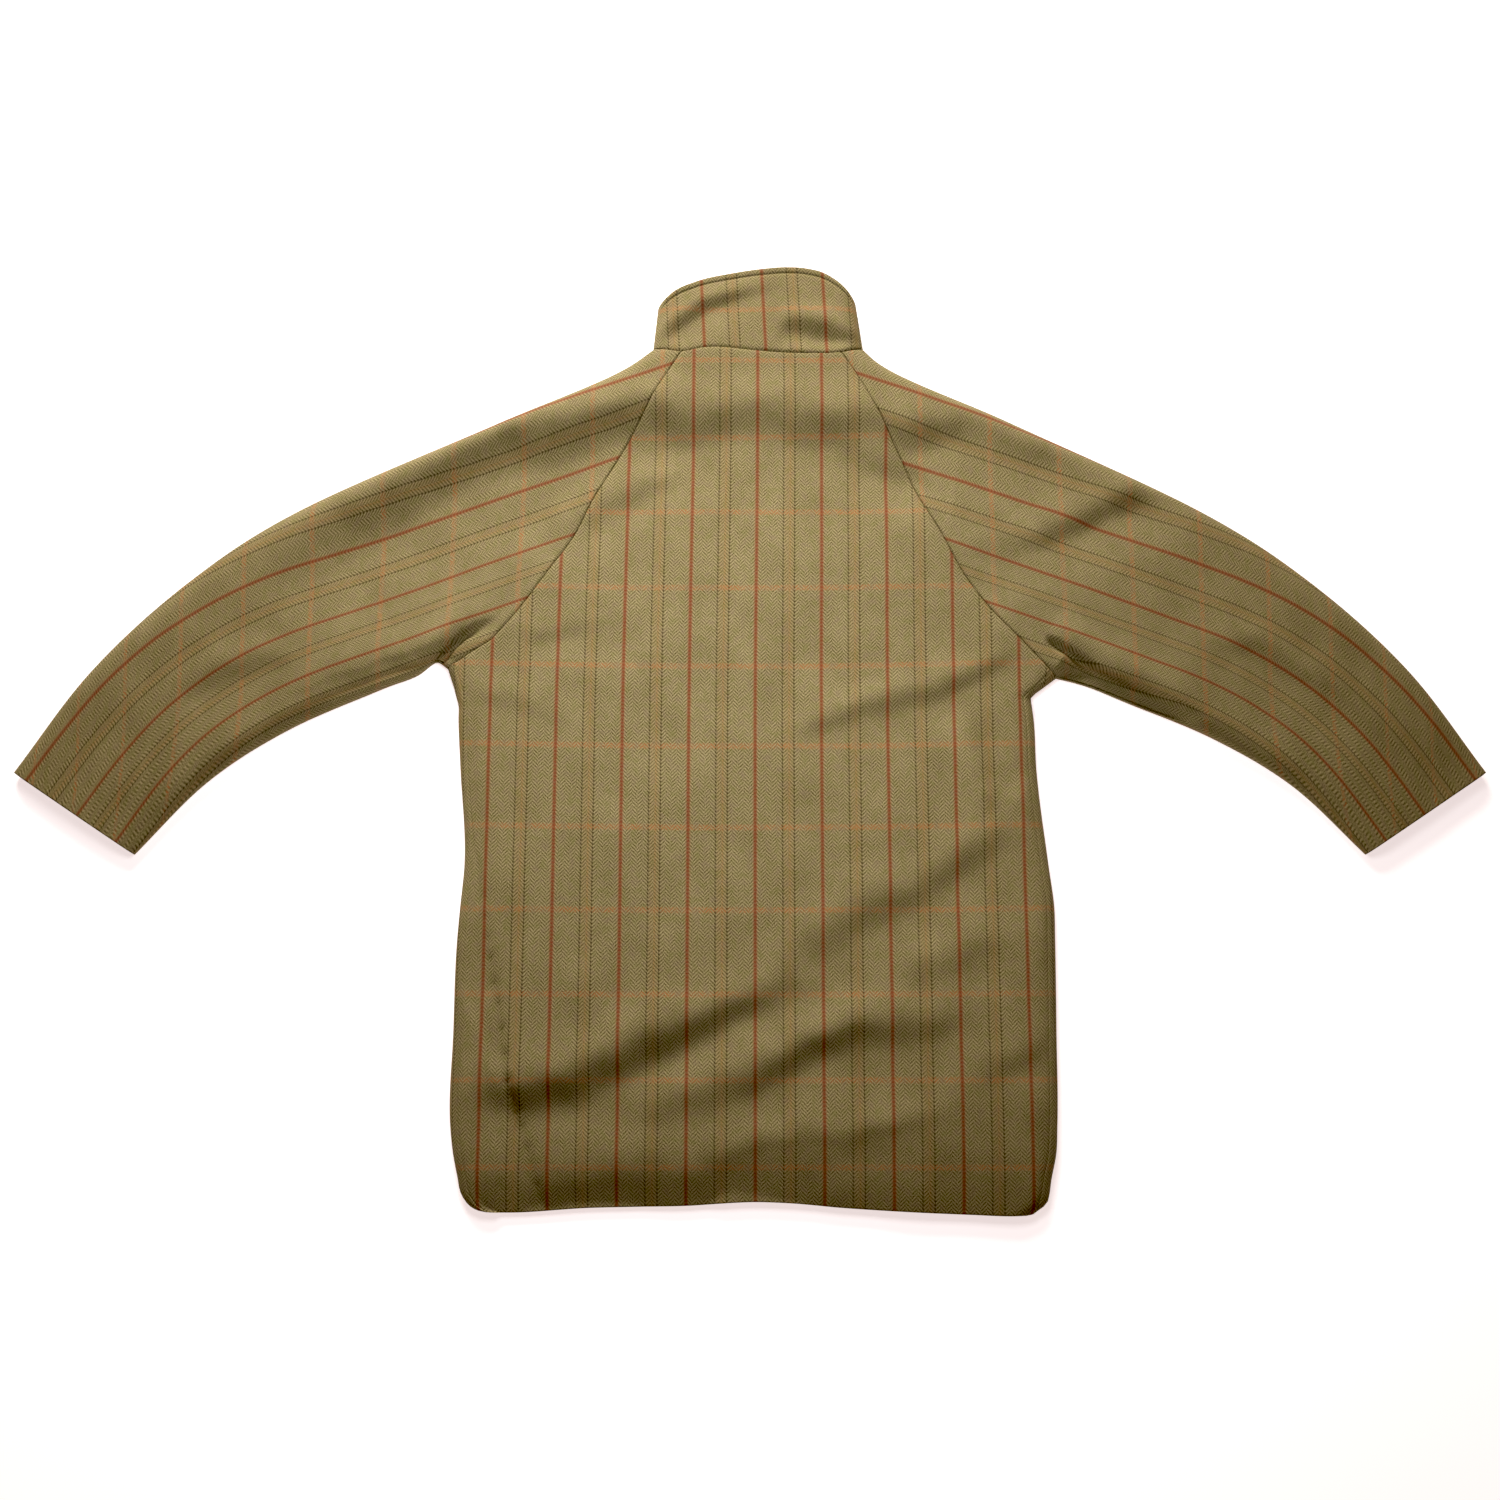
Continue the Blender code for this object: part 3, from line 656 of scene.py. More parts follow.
def underarm(side, steps):
    """Places along the raglan seam, at these distances in from the underarm edge."""
    corner = np.array(UNDERARM[side])
    start = np.array((raglan_out(side, RAGLAN["y"][0]), RAGLAN["y"][0])) - corner
    return corner + np.multiply.outer(steps, start / np.linalg.norm(start))


def line_between(start, end, count):
    """Places on a straight line, without its start."""
    share = np.linspace(0.0, 1.0, count + 1)[1:, None]
    return np.asarray(start) + share * (np.asarray(end) - np.asarray(start))


def body_cloth(x, y):
    """Place on the cloth of a point of the body, whose warp runs up the coat."""
    at_neck = ease(*WARP_SHIFT_Y, y)
    across = x - WARP_AT_HEM - (WARP_AT_NECK - WARP_AT_HEM) * at_neck
    along = y - WEFT_START - WEFT_BOW * ease(*WEFT_BOW_Y, y) * x ** 2
    return np.stack(np.broadcast_arrays(across, along), axis=-1)


side_y = np.concatenate((BODY["y"][0] + EDGE_STEPS[:-1],
                         np.linspace(BODY["y"][0] + EDGE_STEPS[-1], BODY["y"][-1], SIDE_ROWS)))
raglan_y = np.concatenate((np.linspace(RAGLAN["y"][0], RAGLAN["y"][-1] - SEAM_STEPS[-1], RAGLAN_ROWS),
                           RAGLAN["y"][-1] - SEAM_STEPS[-2::-1]))


def back_edge(side):
    """The back's sewn edge, up the side seam, round the underarm and up the raglan."""
    side_seam = np.column_stack((edge_out(side, side_y) - SIDE_SEAM_IN, side_y))
    pit = underarm(side, SIDE_SEAM_IN)
    raglan = np.column_stack((raglan_out(side, raglan_y), raglan_y))
    return np.vstack((side_seam, line_between(side_seam[-1], pit, PIT_ROWS),
                      line_between(pit, raglan[0], LOW_RAGLAN_ROWS)[:-1], raglan))


left_edge, right_edge = back_edge("left"), back_edge("right")
span = (left_edge[:, 0] + right_edge[:, 0])[:, None]
even = np.linspace(0.0, 1.0, BACK_COLUMNS)[1:-1]
middle = SEAM_STEPS[-1] + even * (span - 2 * SEAM_STEPS[-1])
across = np.hstack((np.tile(SEAM_STEPS, (len(span), 1)), middle, span - SEAM_STEPS[::-1]))
x = across - left_edge[:, :1]
y = left_edge[:, 1:] + (right_edge[:, 1:] - left_edge[:, 1:]) * across / span
y_straight = y.copy()
y += np.interp(y, *HEM_EASE) * smooth(HEM["x"], HEM["dip"], x)
y += np.interp(y_straight, *NECK_EASE) * smooth(NECK["x"], NECK["rise"], x)
on_side = np.arange(len(span)) < len(side_y) + PIT_ROWS
lead = [np.where(on_side, SIDE_SEAM_IN, np.hypot(*(edge - UNDERARM[side]).T))[:, None]
        for side, edge in (("left", left_edge), ("right", right_edge))]
from_left = across + lead[0]
from_right = span - across + lead[1]
inward = np.minimum(from_left, from_right)
body_top = smooth(BODY["y"], BODY["top"], np.minimum(left_edge[:, 1], BODY["y"][-1]))[:, None]
outer_z, inner_z, inset = rounded(inward, TOP_ROUND, EDGE_HEIGHT, body_top, WALL)
lift = laid_height(x, y) * ease(0.0, CREASE_FADE, inward - SIDE_SEAM_IN / 2)
from_neck = RAGLAN["y"][-1] - y_straight
from_hem = y_straight - BODY["y"][0]
neck_whole = ease(*NECK_SEAM_ENDS, np.abs(x - NECK_SEAM_MIDDLE))
neck_depth = NECK_SEAM_END_DIP + (1 - NECK_SEAM_END_DIP) * neck_whole
side_depth = np.where(on_side[:, None], SIDE_SEAM_DIP, 1.0)
sewn = side_depth * seam_dip(np.minimum(across, span - across)) + neck_depth * seam_dip(from_neck)
draw = turned_edge(from_hem, WALL)
lift = np.maximum(lift, np.minimum(np.interp(x, *LAYER) - outer_z, 0.0))
back_outer = points(x, y, outer_z + lift - np.minimum(sewn, SEAM_DIP) - draw)
back_inner = points(x + np.where(from_left < from_right, inset, -inset), y, inner_z + lift + draw)
slack = np.where(from_left < from_right, -1.0, 1.0) * edge_slack(inward, TOP_ROUND, ROUND_RISE)
back = shell("back_panel", [(back_outer, back_inner, body_cloth(x + slack, y))])
back.data.materials.append(coat_tweed)
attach(back, "root")
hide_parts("back")

# Front panels
# Two fronts of the same tweed, each sewn to the back just inside the side edge, folded round it and lying
# flat underneath.  They lap at centre front, the left one outermost.
LAP = 0.020
LAP_STEP = (0.050, 0.024)
FRONT_NECK_DROP = 0.040
FRONT_TOP_Y = RAGLAN["y"][-2]
STRIP_STEPS = SIDE_SEAM_IN - np.array((SEAM_GAP, 0.0008, 0.0015, 0.0025, 0.0040, 0.0055, 0.0068, 0.0078,
                                       0.0083))
UNDER_STEPS = np.array((0.0, 0.0004, 0.0013, 0.0027, 0.0045, UNDER_ROUND))
FLAT_COLUMNS = 46
FRONT_RAGLAN_ROWS = 56
FRONT_FOLD = 0.275         # about where the fronts fold, for the stripes underneath
TOP_SLACK = edge_slack(0.0, TOP_ROUND, ROUND_RISE)
UNDER_SLACK = edge_slack(0.0, UNDER_ROUND, EDGE_HEIGHT)


def front_neck_y(side, out):
    """Front neckline, from the front raglan's end to the centre line and past it."""
    share = np.clip(1 - out / raglan_out(side, FRONT_TOP_Y), 0.0, 1.0)
    return FRONT_TOP_Y - FRONT_NECK_DROP * np.sin(share * np.pi / 2)


def front_panel(side):
    """Shell of one front: its wrap round the side edge, and its flat part underneath."""
    sign = -1 if side == "left" else 1
    steps = np.concatenate((STRIP_STEPS, UNDER_STEPS))
    over = len(STRIP_STEPS)
    side_out = edge_out(side, side_y)[:, None] - steps
    side_rows = np.stack(np.broadcast_arrays(side_out, side_y[:, None]), axis=-1)
    share = np.linspace(0.0, 1.0, PIT_ROWS + 1)[1:, None, None]
    wrap_plan = np.vstack((side_rows, side_rows[-1] + share * (underarm(side, steps) - side_rows[-1])))
    wrap_out, wrap_y = wrap_plan[..., 0], wrap_plan[..., 1].copy()
    from_hem = wrap_y - BODY["y"][0]
    wrap_y += np.interp(wrap_y, *HEM_EASE) * smooth(HEM["x"], HEM["dip"], sign * wrap_out)
    top = smooth(BODY["y"], BODY["top"], np.minimum(wrap_plan[:, 0, 1], BODY["y"][-1]))[:, None]
    upper = rounded(steps[:over], TOP_ROUND, EDGE_HEIGHT, top, WALL)
    under = rounded(steps[over:], UNDER_ROUND, EDGE_HEIGHT, np.zeros_like(top), WALL)
    wrap_x = sign * wrap_out
    lift = laid_height(wrap_x, wrap_y) * ease(0.0, CREASE_FADE, steps - SIDE_SEAM_IN / 2)
    lift[:, over:] = 0.0
    sewn = SIDE_SEAM_DIP * seam_dip(SIDE_SEAM_IN - steps)
    sewn[over:] = 0.0
    draw = turned_edge(from_hem, WALL) * np.where(np.arange(len(steps)) < over, 1.0, -1.0)
    outer_z = np.hstack((upper[0], under[0])) + lift - sewn - draw
    inner_z = np.hstack((upper[1], under[1])) + lift + draw
    inner_out = wrap_out - np.append(upper[2], under[2])
    unfolded = 2 * wrap_out[:, over:over + 1] - wrap_out
    round_the_edge = np.where(np.arange(len(steps)) < over, wrap_out, unfolded)
    round_the_edge += np.append(edge_slack(STRIP_STEPS, TOP_ROUND, ROUND_RISE),
                                TOP_SLACK + UNDER_SLACK - edge_slack(UNDER_STEPS, UNDER_ROUND, EDGE_HEIGHT))
    wrap = (points(sign * wrap_out, wrap_y, outer_z), points(sign * inner_out, wrap_y, inner_z),
            body_cloth(sign * round_the_edge, wrap_y))

    rows_y = np.linspace(RAGLAN["y"][0], FRONT_TOP_Y, FRONT_RAGLAN_ROWS)
    raglan = np.column_stack((raglan_out(side, rows_y), rows_y))
    low_raglan = line_between(underarm(side, UNDER_ROUND), raglan[0], LOW_RAGLAN_ROWS)[:-1]
    seam = np.vstack((np.column_stack((wrap_out[:, -1], wrap_y[:, -1])), low_raglan, raglan))
    columns = np.linspace(raglan[-1, 0], -LAP, FLAT_COLUMNS)
    share = np.linspace(0.0, 1.0, FLAT_COLUMNS)
    flat_out = seam[:, :1] + share * (-LAP - seam[:, :1])
    climb = (seam[:, 1:] - BODY["y"][0]) / (FRONT_TOP_Y - BODY["y"][0])
    fall = front_neck_y(side, columns) - FRONT_TOP_Y
    hem_dip = smooth(HEM["x"], HEM["dip"], sign * flat_out[0]) - (seam[0, 1] - BODY["y"][0])
    flat_y = seam[:, 1:] + climb ** 2 * fall + np.interp(seam[:, 1:], *HEM_EASE) * hem_dip
    step_up = np.zeros_like(flat_out)
    if side == "right":
        step_up = (WALL + SEAM_GAP) * ease(-LAP_STEP[0], -LAP_STEP[1], -flat_out)
    draw = turned_edge(np.maximum(seam[:, 1:] - seam[0, 1], 0.0), WALL)
    cloth = body_cloth(sign * (2 * FRONT_FOLD - flat_out + TOP_SLACK + UNDER_SLACK), flat_y)
    flat = (points(sign * flat_out, flat_y, step_up + draw),
            points(sign * flat_out, flat_y, step_up + WALL - draw), cloth)
    return shell(f"{side}_front", [wrap, flat])


for side in ("left", "right"):
    front = front_panel(side)
    front.data.materials.append(coat_tweed)
    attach(front, "root")
    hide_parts(f"front_{side}")

# Raglan sleeves
# Each is a tube of tweed, sewn into the raglan seams of back and front from the neck to the underarm.
# It lies flattened, folded over the shoulder and at the underarm, and ends in a plain turned cuff.
NECK_SIDE = {"left": (0.0960, 0.4020), "right": (0.1120, 0.4020)}
SLEEVE = {
    "left": table(
        "share  upper_out  upper_y  lower_out  lower_y  top",
        (0.00,  0.0960,    0.4020,  0.2890,    0.0770,  BODY_TOP),
        (0.05,  0.1200,    0.3840,  0.2975,    0.0830,  0.0190),
        (0.20,  0.2470,    0.3250,  0.3200,    0.0700,  0.0210),
        (0.42,  0.4425,    0.2330,  0.3575,    0.0550,  0.0215),
        (0.61,  0.5410,    0.1640,  0.4390,    0.0180,  0.0205),
        (0.81,  0.6300,    0.0750,  0.5140,   -0.0330,  0.0180),
        (1.00,  0.6965,   -0.0230,  0.5775,   -0.1010,  0.0140),
    ),
    "right": table(
        "share  upper_out  upper_y  lower_out  lower_y  top",
        (0.00,  0.1120,    0.4020,  0.2925,    0.0680,  BODY_TOP),
        (0.04,  0.1270,    0.3880,  0.2990,    0.0665,  0.0188),
        (0.20,  0.2530,    0.3265,  0.3220,    0.0600,  0.0210),
        (0.42,  0.4425,    0.2320,  0.3600,    0.0440,  0.0215),
        (0.61,  0.5410,    0.1630,  0.4390,    0.0100,  0.0205),
        (0.81,  0.6300,    0.0750,  0.5140,   -0.0370,  0.0180),
        (1.00,  0.6965,   -0.0230,  0.5775,   -0.1010,  0.0140),
    ),
}
# Where the sleeve bulges over a tuck at the underarm, as creases.
TUCKS = {
    "left": table(
        "x        y       up      down     rise     drop     tail",
        (-0.325,  0.062,  0.010,  0.0050,  0.0000,  0.0000,  0.6),
        (-0.310,  0.077,  0.010,  0.0050,  0.0012,  0.0090,  0.6),
        (-0.300,  0.088,  0.010,  0.0048,  0.0030,  0.0150,  0.5),
        (-0.288,  0.101,  0.011,  0.0046,  0.0034,  0.0150,  0.5),
        (-0.277,  0.112,  0.012,  0.0050,  0.0030,  0.0120,  0.6),
        (-0.264,  0.120,  0.012,  0.0060,  0.0016,  0.0050,  0.8),
        (-0.240,  0.129,  0.012,  0.0060,  0.0000,  0.0000,  0.8),
    ),
    "right": table(
        "x       y       up      down     rise     drop     hold  tail",
        (0.284,  0.108,  0.012,  0.0050,  0.0000,  0.0000,  0.0,  0.6),
        (0.293,  0.104,  0.012,  0.0050,  0.0020,  0.0080,  0.0,  0.6),
        (0.305,  0.097,  0.012,  0.0048,  0.0032,  0.0130,  0.0,  0.6),
        (0.318,  0.088,  0.012,  0.0050,  0.0034,  0.0150,  0.6,  0.7),
        (0.335,  0.077,  0.012,  0.0055,  0.0034,  0.0160,  1.0,  0.8),
        (0.359,  0.065,  0.012,  0.0060,  0.0034,  0.0160,  1.0,  0.8),
        (0.395,  0.049,  0.012,  0.0080,  0.0024,  0.0110,  1.0,  0.8),
        (0.430,  0.031,  0.012,  0.0100,  0.0000,  0.0000,  1.0,  0.8),
    ),
}
TUCK_FADE = 0.003
SLEEVE_SEAM_FADE = 0.006   # the raglan seam's dip is whole this far in from a fold
SLEEVE_FOLD_KEEP = (0.011, 0.044)
SLEEVE_SEAM_SHARES = (0.0, 0.0008, 0.0020, 0.0036, 0.0058, 0.0088, 0.0130)
SLEEVE_CUFF_SHARES = (0.9965, 0.9980, 0.9990, 0.99965, 1.0)
UNDERARM_STEPS = np.array((0.0, 0.0004, 0.0012, 0.0025, 0.0042, 0.0062, SIDE_SEAM_IN))
SHOULDER_SHARES = np.array((0.82, 0.64, 0.47, 0.33, 0.21, 0.12, 0.05, 0.015, 0.0))
SLEEVE_RINGS = 144
RING_CROWDING = 1.45       # rings lie closer towards the armhole by this power
SLEEVE_LENGTH = 0.62       # along its middle, for the cuff's turned edge
WARP_ANGLE = np.radians(20.5)   # the sleeve's stripes run down by this from the shoulder to the elbow
FOREARM_TURN = np.radians(36)   # and by this much more from there to the cuff
ELBOW_SHARE = 0.42
# Where the stripes lie across the sleeve, against where they lie on the cloth that is gathered underarm.
SLEEVE_WARP = table(
    "seen    cloth",
    (-0.250, -0.600),
    (0.150, -0.200),
    (0.2115, -0.1254),
    (0.2565, -0.0627),
    (0.3170,  0.0000),
    (0.3860,  0.0627),
    (0.4600,  0.1330),
    (0.8000,  0.4730),
)
SLEEVE_WEFT_START = {"left": 0.059, "right": 0.075}
SLEEVE_WEFT_EASE = 1.06    # cloth for each metre seen, along the sleeve


def armhole(side, low_steps, neck_steps, top_y):
    """Plan of half an armhole: from the underarm up a raglan seam, then along the neck to the fold."""
    rows_y = np.linspace(RAGLAN["y"][0], top_y, RAGLAN_ROWS)
    seam = np.column_stack((raglan_out(side, rows_y), rows_y))
    low = underarm(side, low_steps)
    low_raglan = line_between(low[-1], seam[0], LOW_RAGLAN_ROWS)[:-1]
    neck_side = np.array(NECK_SIDE[side])
    reach = np.linalg.norm(seam[-1] - neck_side)
    neck = neck_side + np.multiply.outer(neck_steps * reach, (seam[-1] - neck_side) / reach)
    return np.vstack((low, low_raglan, seam, neck))


def set_in(line):
    """The armhole line moved into the sleeve by the seam gap, straight down at the shoulder fold."""
    along = np.gradient(line, axis=0)
    along /= np.linalg.norm(along, axis=1)[:, None]
    away = np.column_stack((along[:, 1], -along[:, 0]))
    away[-1] = (0.0, -1.0)
    return line + SEAM_GAP * away


def sleeve_warp_angle(share):
    """How steeply the warp runs down at a ring: even to the elbow, then with the forearm."""
    return WARP_ANGLE + ease(ELBOW_SHARE, 1.0, share) * FOREARM_TURN


def sleeve_layer(side, line, reach, upper):
    """Outside and inside grid and cloth places of a sleeve's upper or lower layer, ring by ring."""
    cut = SLEEVE[side]
    sign = -1 if side == "left" else 1
    travel = np.append(0.0, np.cumsum(np.linalg.norm(np.diff(line, axis=0), axis=1)))
    inward = np.minimum(travel, travel[-1] - travel)
    line = set_in(line)
    near_low = travel <= SLEEVE_FOLD_KEEP[0]
    near_high = travel[-1] - travel <= SLEEVE_FOLD_KEEP[1]
    low_end, high_end = travel[near_low][-1], (travel[-1] - travel[near_high])[0]
    shares = np.concatenate((SLEEVE_SEAM_SHARES[:-1],
                             SLEEVE_SEAM_SHARES[-1] + np.linspace(0.0, 1.0, SLEEVE_RINGS) ** RING_CROWDING
                             * (SLEEVE_CUFF_SHARES[0] - SLEEVE_SEAM_SHARES[-1]),
                             SLEEVE_CUFF_SHARES[1:]))
    outer, inner, cloth = [], [], []
    middle, middle_cloth = None, None
    for share in shares:
        low = np.array([smooth(cut["share"], cut[name], share) for name in ("lower_out", "lower_y")])
        high = np.array([smooth(cut["share"], cut[name], share) for name in ("upper_out", "upper_y")])
        top = smooth(cut["share"], cut["top"], share)
        width = np.linalg.norm(high - low)
        toward = (high - low) / width
        spread = (travel - low_end) / (travel[-1] - high_end - low_end)
        place = low_end + spread * (width - high_end - low_end)
        place = np.where(near_low, travel, np.where(near_high, width - (travel[-1] - travel), place))
        plan = low + np.multiply.outer(place, toward)
        if share == 0.0:
            straight = plan
            plan = line
        else:
            inward = np.minimum(place, width - place)
            plan = plan + (1 - share) ** 2 * (line - straight)
        far = top if upper else 0.0
        outer_z, inner_z, inset = rounded(inward, reach, EDGE_HEIGHT, far, WALL)
        draw = turned_edge((1 - share) * SLEEVE_LENGTH, WALL)
        if upper:
            place_x, place_y = sign * plan[:, 0], plan[:, 1]
            lift = laid_height(place_x, place_y) * ease(0.0, CREASE_FADE, inward)
            lift += crease_height([TUCKS[side]], place_x, place_y) * ease(0.0, TUCK_FADE, inward)
            lift = np.maximum(lift, np.minimum(2 * WALL + SEAM_GAP - outer_z, 0.0))
            from_seam = np.linalg.norm(plan - line, axis=1)
            outer_z = outer_z + lift - seam_dip(from_seam) * ease(0.0, SLEEVE_SEAM_FADE, inward) - draw
            inner_z = np.maximum(inner_z + lift + draw, np.minimum(WALL + SEAM_GAP, outer_z))
        else:
            outer_z = outer_z + draw
            inner_z = inner_z - draw
        inset = np.where(place < width / 2, inset, -inset)
        inner_plan = plan + np.multiply.outer(inset, toward)
        outer.append(points(sign * plan[:, 0], plan[:, 1], outer_z))
        inner.append(points(sign * inner_plan[:, 0], inner_plan[:, 1], inner_z))

        # The warp runs along the sleeve, so the cloth's axes turn with it past the elbow.
        angle = sleeve_warp_angle(share)
        across_warp = np.array((np.sin(angle), np.cos(angle)))
        along_warp = np.array((np.cos(angle), -np.sin(angle)))
        axes = np.column_stack((across_warp, along_warp))
        centre = (low + high) / 2
        if middle is None:
            middle_cloth = centre @ axes
        else:
            middle_cloth = middle_cloth + (centre - middle) @ axes
        middle = centre
        at = middle_cloth + (plan - centre) @ axes
        slack = edge_slack(inward, reach, ROUND_RISE if upper else EDGE_HEIGHT)
        slack = np.where(place > width / 2, slack, -slack)
        if upper:
            at[:, 0] += slack
        else:
            fold = middle_cloth + (high - centre) @ axes
            at[:, 0] = 2 * fold[0] - at[:, 0] + TOP_SLACK + UNDER_SLACK - slack
        at[:, 1] += np.tan(angle) * (at[:, 0] - middle_cloth[0])
        at[:, 0] = sign * np.interp(at[:, 0], SLEEVE_WARP["seen"], SLEEVE_WARP["cloth"])
        at[:, 1] = at[:, 1] * SLEEVE_WEFT_EASE - SLEEVE_WEFT_START[side]
        cloth.append(at)
    return np.array(outer), np.array(inner), np.array(cloth)


def sleeve_shell(side):
    """Shell of one sleeve, its upper layer and the one underneath."""
    upper_line = armhole(side, UNDERARM_STEPS, SHOULDER_SHARES, RAGLAN["y"][-1])
    lower_line = armhole(side, UNDER_STEPS, SHOULDER_SHARES, FRONT_TOP_Y)
    upper = sleeve_layer(side, upper_line, TOP_ROUND, True)
    lower = sleeve_layer(side, lower_line, UNDER_ROUND, False)
    return shell(f"{side}_sleeve", [upper, [grid[:, ::-1] for grid in lower]])


for side in ("left", "right"):
    sleeve = sleeve_shell(side)
    sleeve.data.materials.append(coat_tweed)
    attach(sleeve, "root")
    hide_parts(f"sleeve_{side}")

# Stand collar
# One band of tweed, two layers on a stiffener, sewn into the neck.  It lies folded at both sides of the
# neck, open at centre front, and a row of stitching holds the layers together along its top edge.
COLLAR_WALL = 0.0035
COLLAR_TOP = table(
    "share  y",
    (0.00,  0.4445),
    (0.02,  0.4490),
    (0.075, 0.4585),
    (0.20,  0.4702),
    (0.37,  0.4782),
    (0.53,  0.4832),
    (0.645, 0.4850),
    (0.75,  0.4836),
    (0.835, 0.4790),
    (0.905, 0.4703),
    (0.965, 0.4590),
    (1.00,  0.4490),
)
COLLAR_TAPER = {"left": 0.0043, "right": 0.0065}
COLLAR_TOP_HEIGHT = 0.0195
COLLAR_ROUND = 0.020
COLLAR_FRONT_HEIGHT = 0.075
COLLAR_OPENING = 0.001
COLLAR_HEIGHT = 0.085      # about, for the spacing of its rows
COLLAR_ROWS = 26
COLLAR_COLUMNS = 96
COLLAR_FRONT_COLUMNS = 40
FOLD_STEPS = np.array((0.0, 0.0002, 0.0008, 0.0018, 0.0032, 0.0050, 0.0073, 0.0100, 0.0132, 0.0165))
COLLAR_EDGE_STEPS = np.array((0.0, 0.00012, 0.0004, 0.0008, 0.00125, 0.0025, 0.0040, 0.0052, 0.0060, 0.0067,
                              0.0074, 0.0082, 0.0095))
STITCH_IN = 0.0067         # the stitching's distance below the top edge
STITCH_DIP = 0.0012
STITCH_HALF = 0.0013
COLLAR_WARP = (0.0133, 0.436)    # a red stripe crosses the collar here, leaning a little
COLLAR_WARP_LEAN = 0.05
COLLAR_WEFT = 0.440
COLLAR_EASE = 1.0415       # cloth for each metre seen, as the collar's back curves away
COLLAR_CREASE_FADE = 0.014   # creases are whole this far above the neck seam
COLLAR_CREASES = (
    table(
        "x        y       up      down    rise     drop",
        (-0.092,  0.403,  0.008,  0.008,  0.0000,  0.0000),
        (-0.084,  0.413,  0.008,  0.008,  0.0015,  0.0018),
        (-0.077,  0.420,  0.008,  0.008,  0.0025,  0.0028),
        (-0.045,  0.444,  0.008,  0.008,  0.0030,  0.0032),
        (-0.015,  0.454,  0.007,  0.007,  0.0020,  0.0022),
        (0.015,   0.461,  0.007,  0.007,  0.0007,  0.0007),
        (0.035,   0.464,  0.007,  0.007,  0.0000,  0.0000),
    ),
    table(
        "x       y       up      down    rise     drop",
        (0.026,  0.424,  0.010,  0.010,  0.0000,  0.0000),
        (0.036,  0.424,  0.010,  0.010,  0.0027,  0.0032),
        (0.050,  0.424,  0.010,  0.010,  0.0038,  0.0043),
        (0.074,  0.419,  0.011,  0.011,  0.0043,  0.0049),
        (0.097,  0.409,  0.010,  0.010,  0.0035,  0.0038),
        (0.109,  0.400,  0.010,  0.010,  0.0000,  0.0000),
    ),
)


def collar_cloth(x, y):
    """Place on the cloth of a point on the collar's back."""
    across = (x - COLLAR_WARP[0] + COLLAR_WARP_LEAN * (y - COLLAR_WARP[1])) * COLLAR_EASE
    return np.stack(np.broadcast_arrays(across, y - COLLAR_WEFT), axis=-1)


def collar_relief(height, low, high):
    """How far the collar's outside lies back at a height: its neck seam, stitching and turned top."""
    from_top = (1 - height) * (high - low)
    stitched = STITCH_DIP * np.exp(-((from_top - STITCH_IN) / STITCH_HALF) ** 2)
    return seam_dip(height * (high - low)), stitched, turned_edge(from_top, COLLAR_WALL)


def collar_front(side, height):
    """One row of the collar's half that lies underneath, from its side fold to centre front."""
    sign = -1 if side == "left" else 1
    fold_out, fold_y = NECK_SIDE[side]
    seam_out = raglan_out(side, FRONT_TOP_Y)
    flat = np.linspace(fold_out - UNDER_ROUND, COLLAR_OPENING, COLLAR_FRONT_COLUMNS)
    neck_out = np.concatenate((fold_out - UNDER_STEPS[1:-1], flat))
    inward = fold_out - neck_out
    on_sleeve = np.clip((neck_out - seam_out) / (fold_out - seam_out), 0.0, 1.0)
    low = front_neck_y(side, neck_out) + on_sleeve * (fold_y - FRONT_TOP_Y) + SEAM_GAP
    fold_top = COLLAR_TOP["y"][0 if side == "left" else -1]
    front_top = front_neck_y(side, 0.0) + COLLAR_FRONT_HEIGHT
    high = fold_top + (front_top - fold_top) * ease(0.0, 1.0, inward / inward[-1])
    y = low + height * (high - low)
    out = neck_out * (1 - COLLAR_TAPER[side] * height / fold_out)
    outer_z, inner_z, inset = rounded(inward, UNDER_ROUND, EDGE_HEIGHT, 0.0, COLLAR_WALL)
    draw = collar_relief(height, low, high)[2] * np.where(outer_z < EDGE_HEIGHT / 2, 1.0, 0.0)
    slack = TOP_SLACK + UNDER_SLACK - edge_slack(inward, UNDER_ROUND, EDGE_HEIGHT)
    cloth = collar_cloth(sign * (fold_out + inward + slack), y)
    return points(sign * out, y, outer_z + draw), points(sign * (out - inset), y, inner_z - draw), cloth


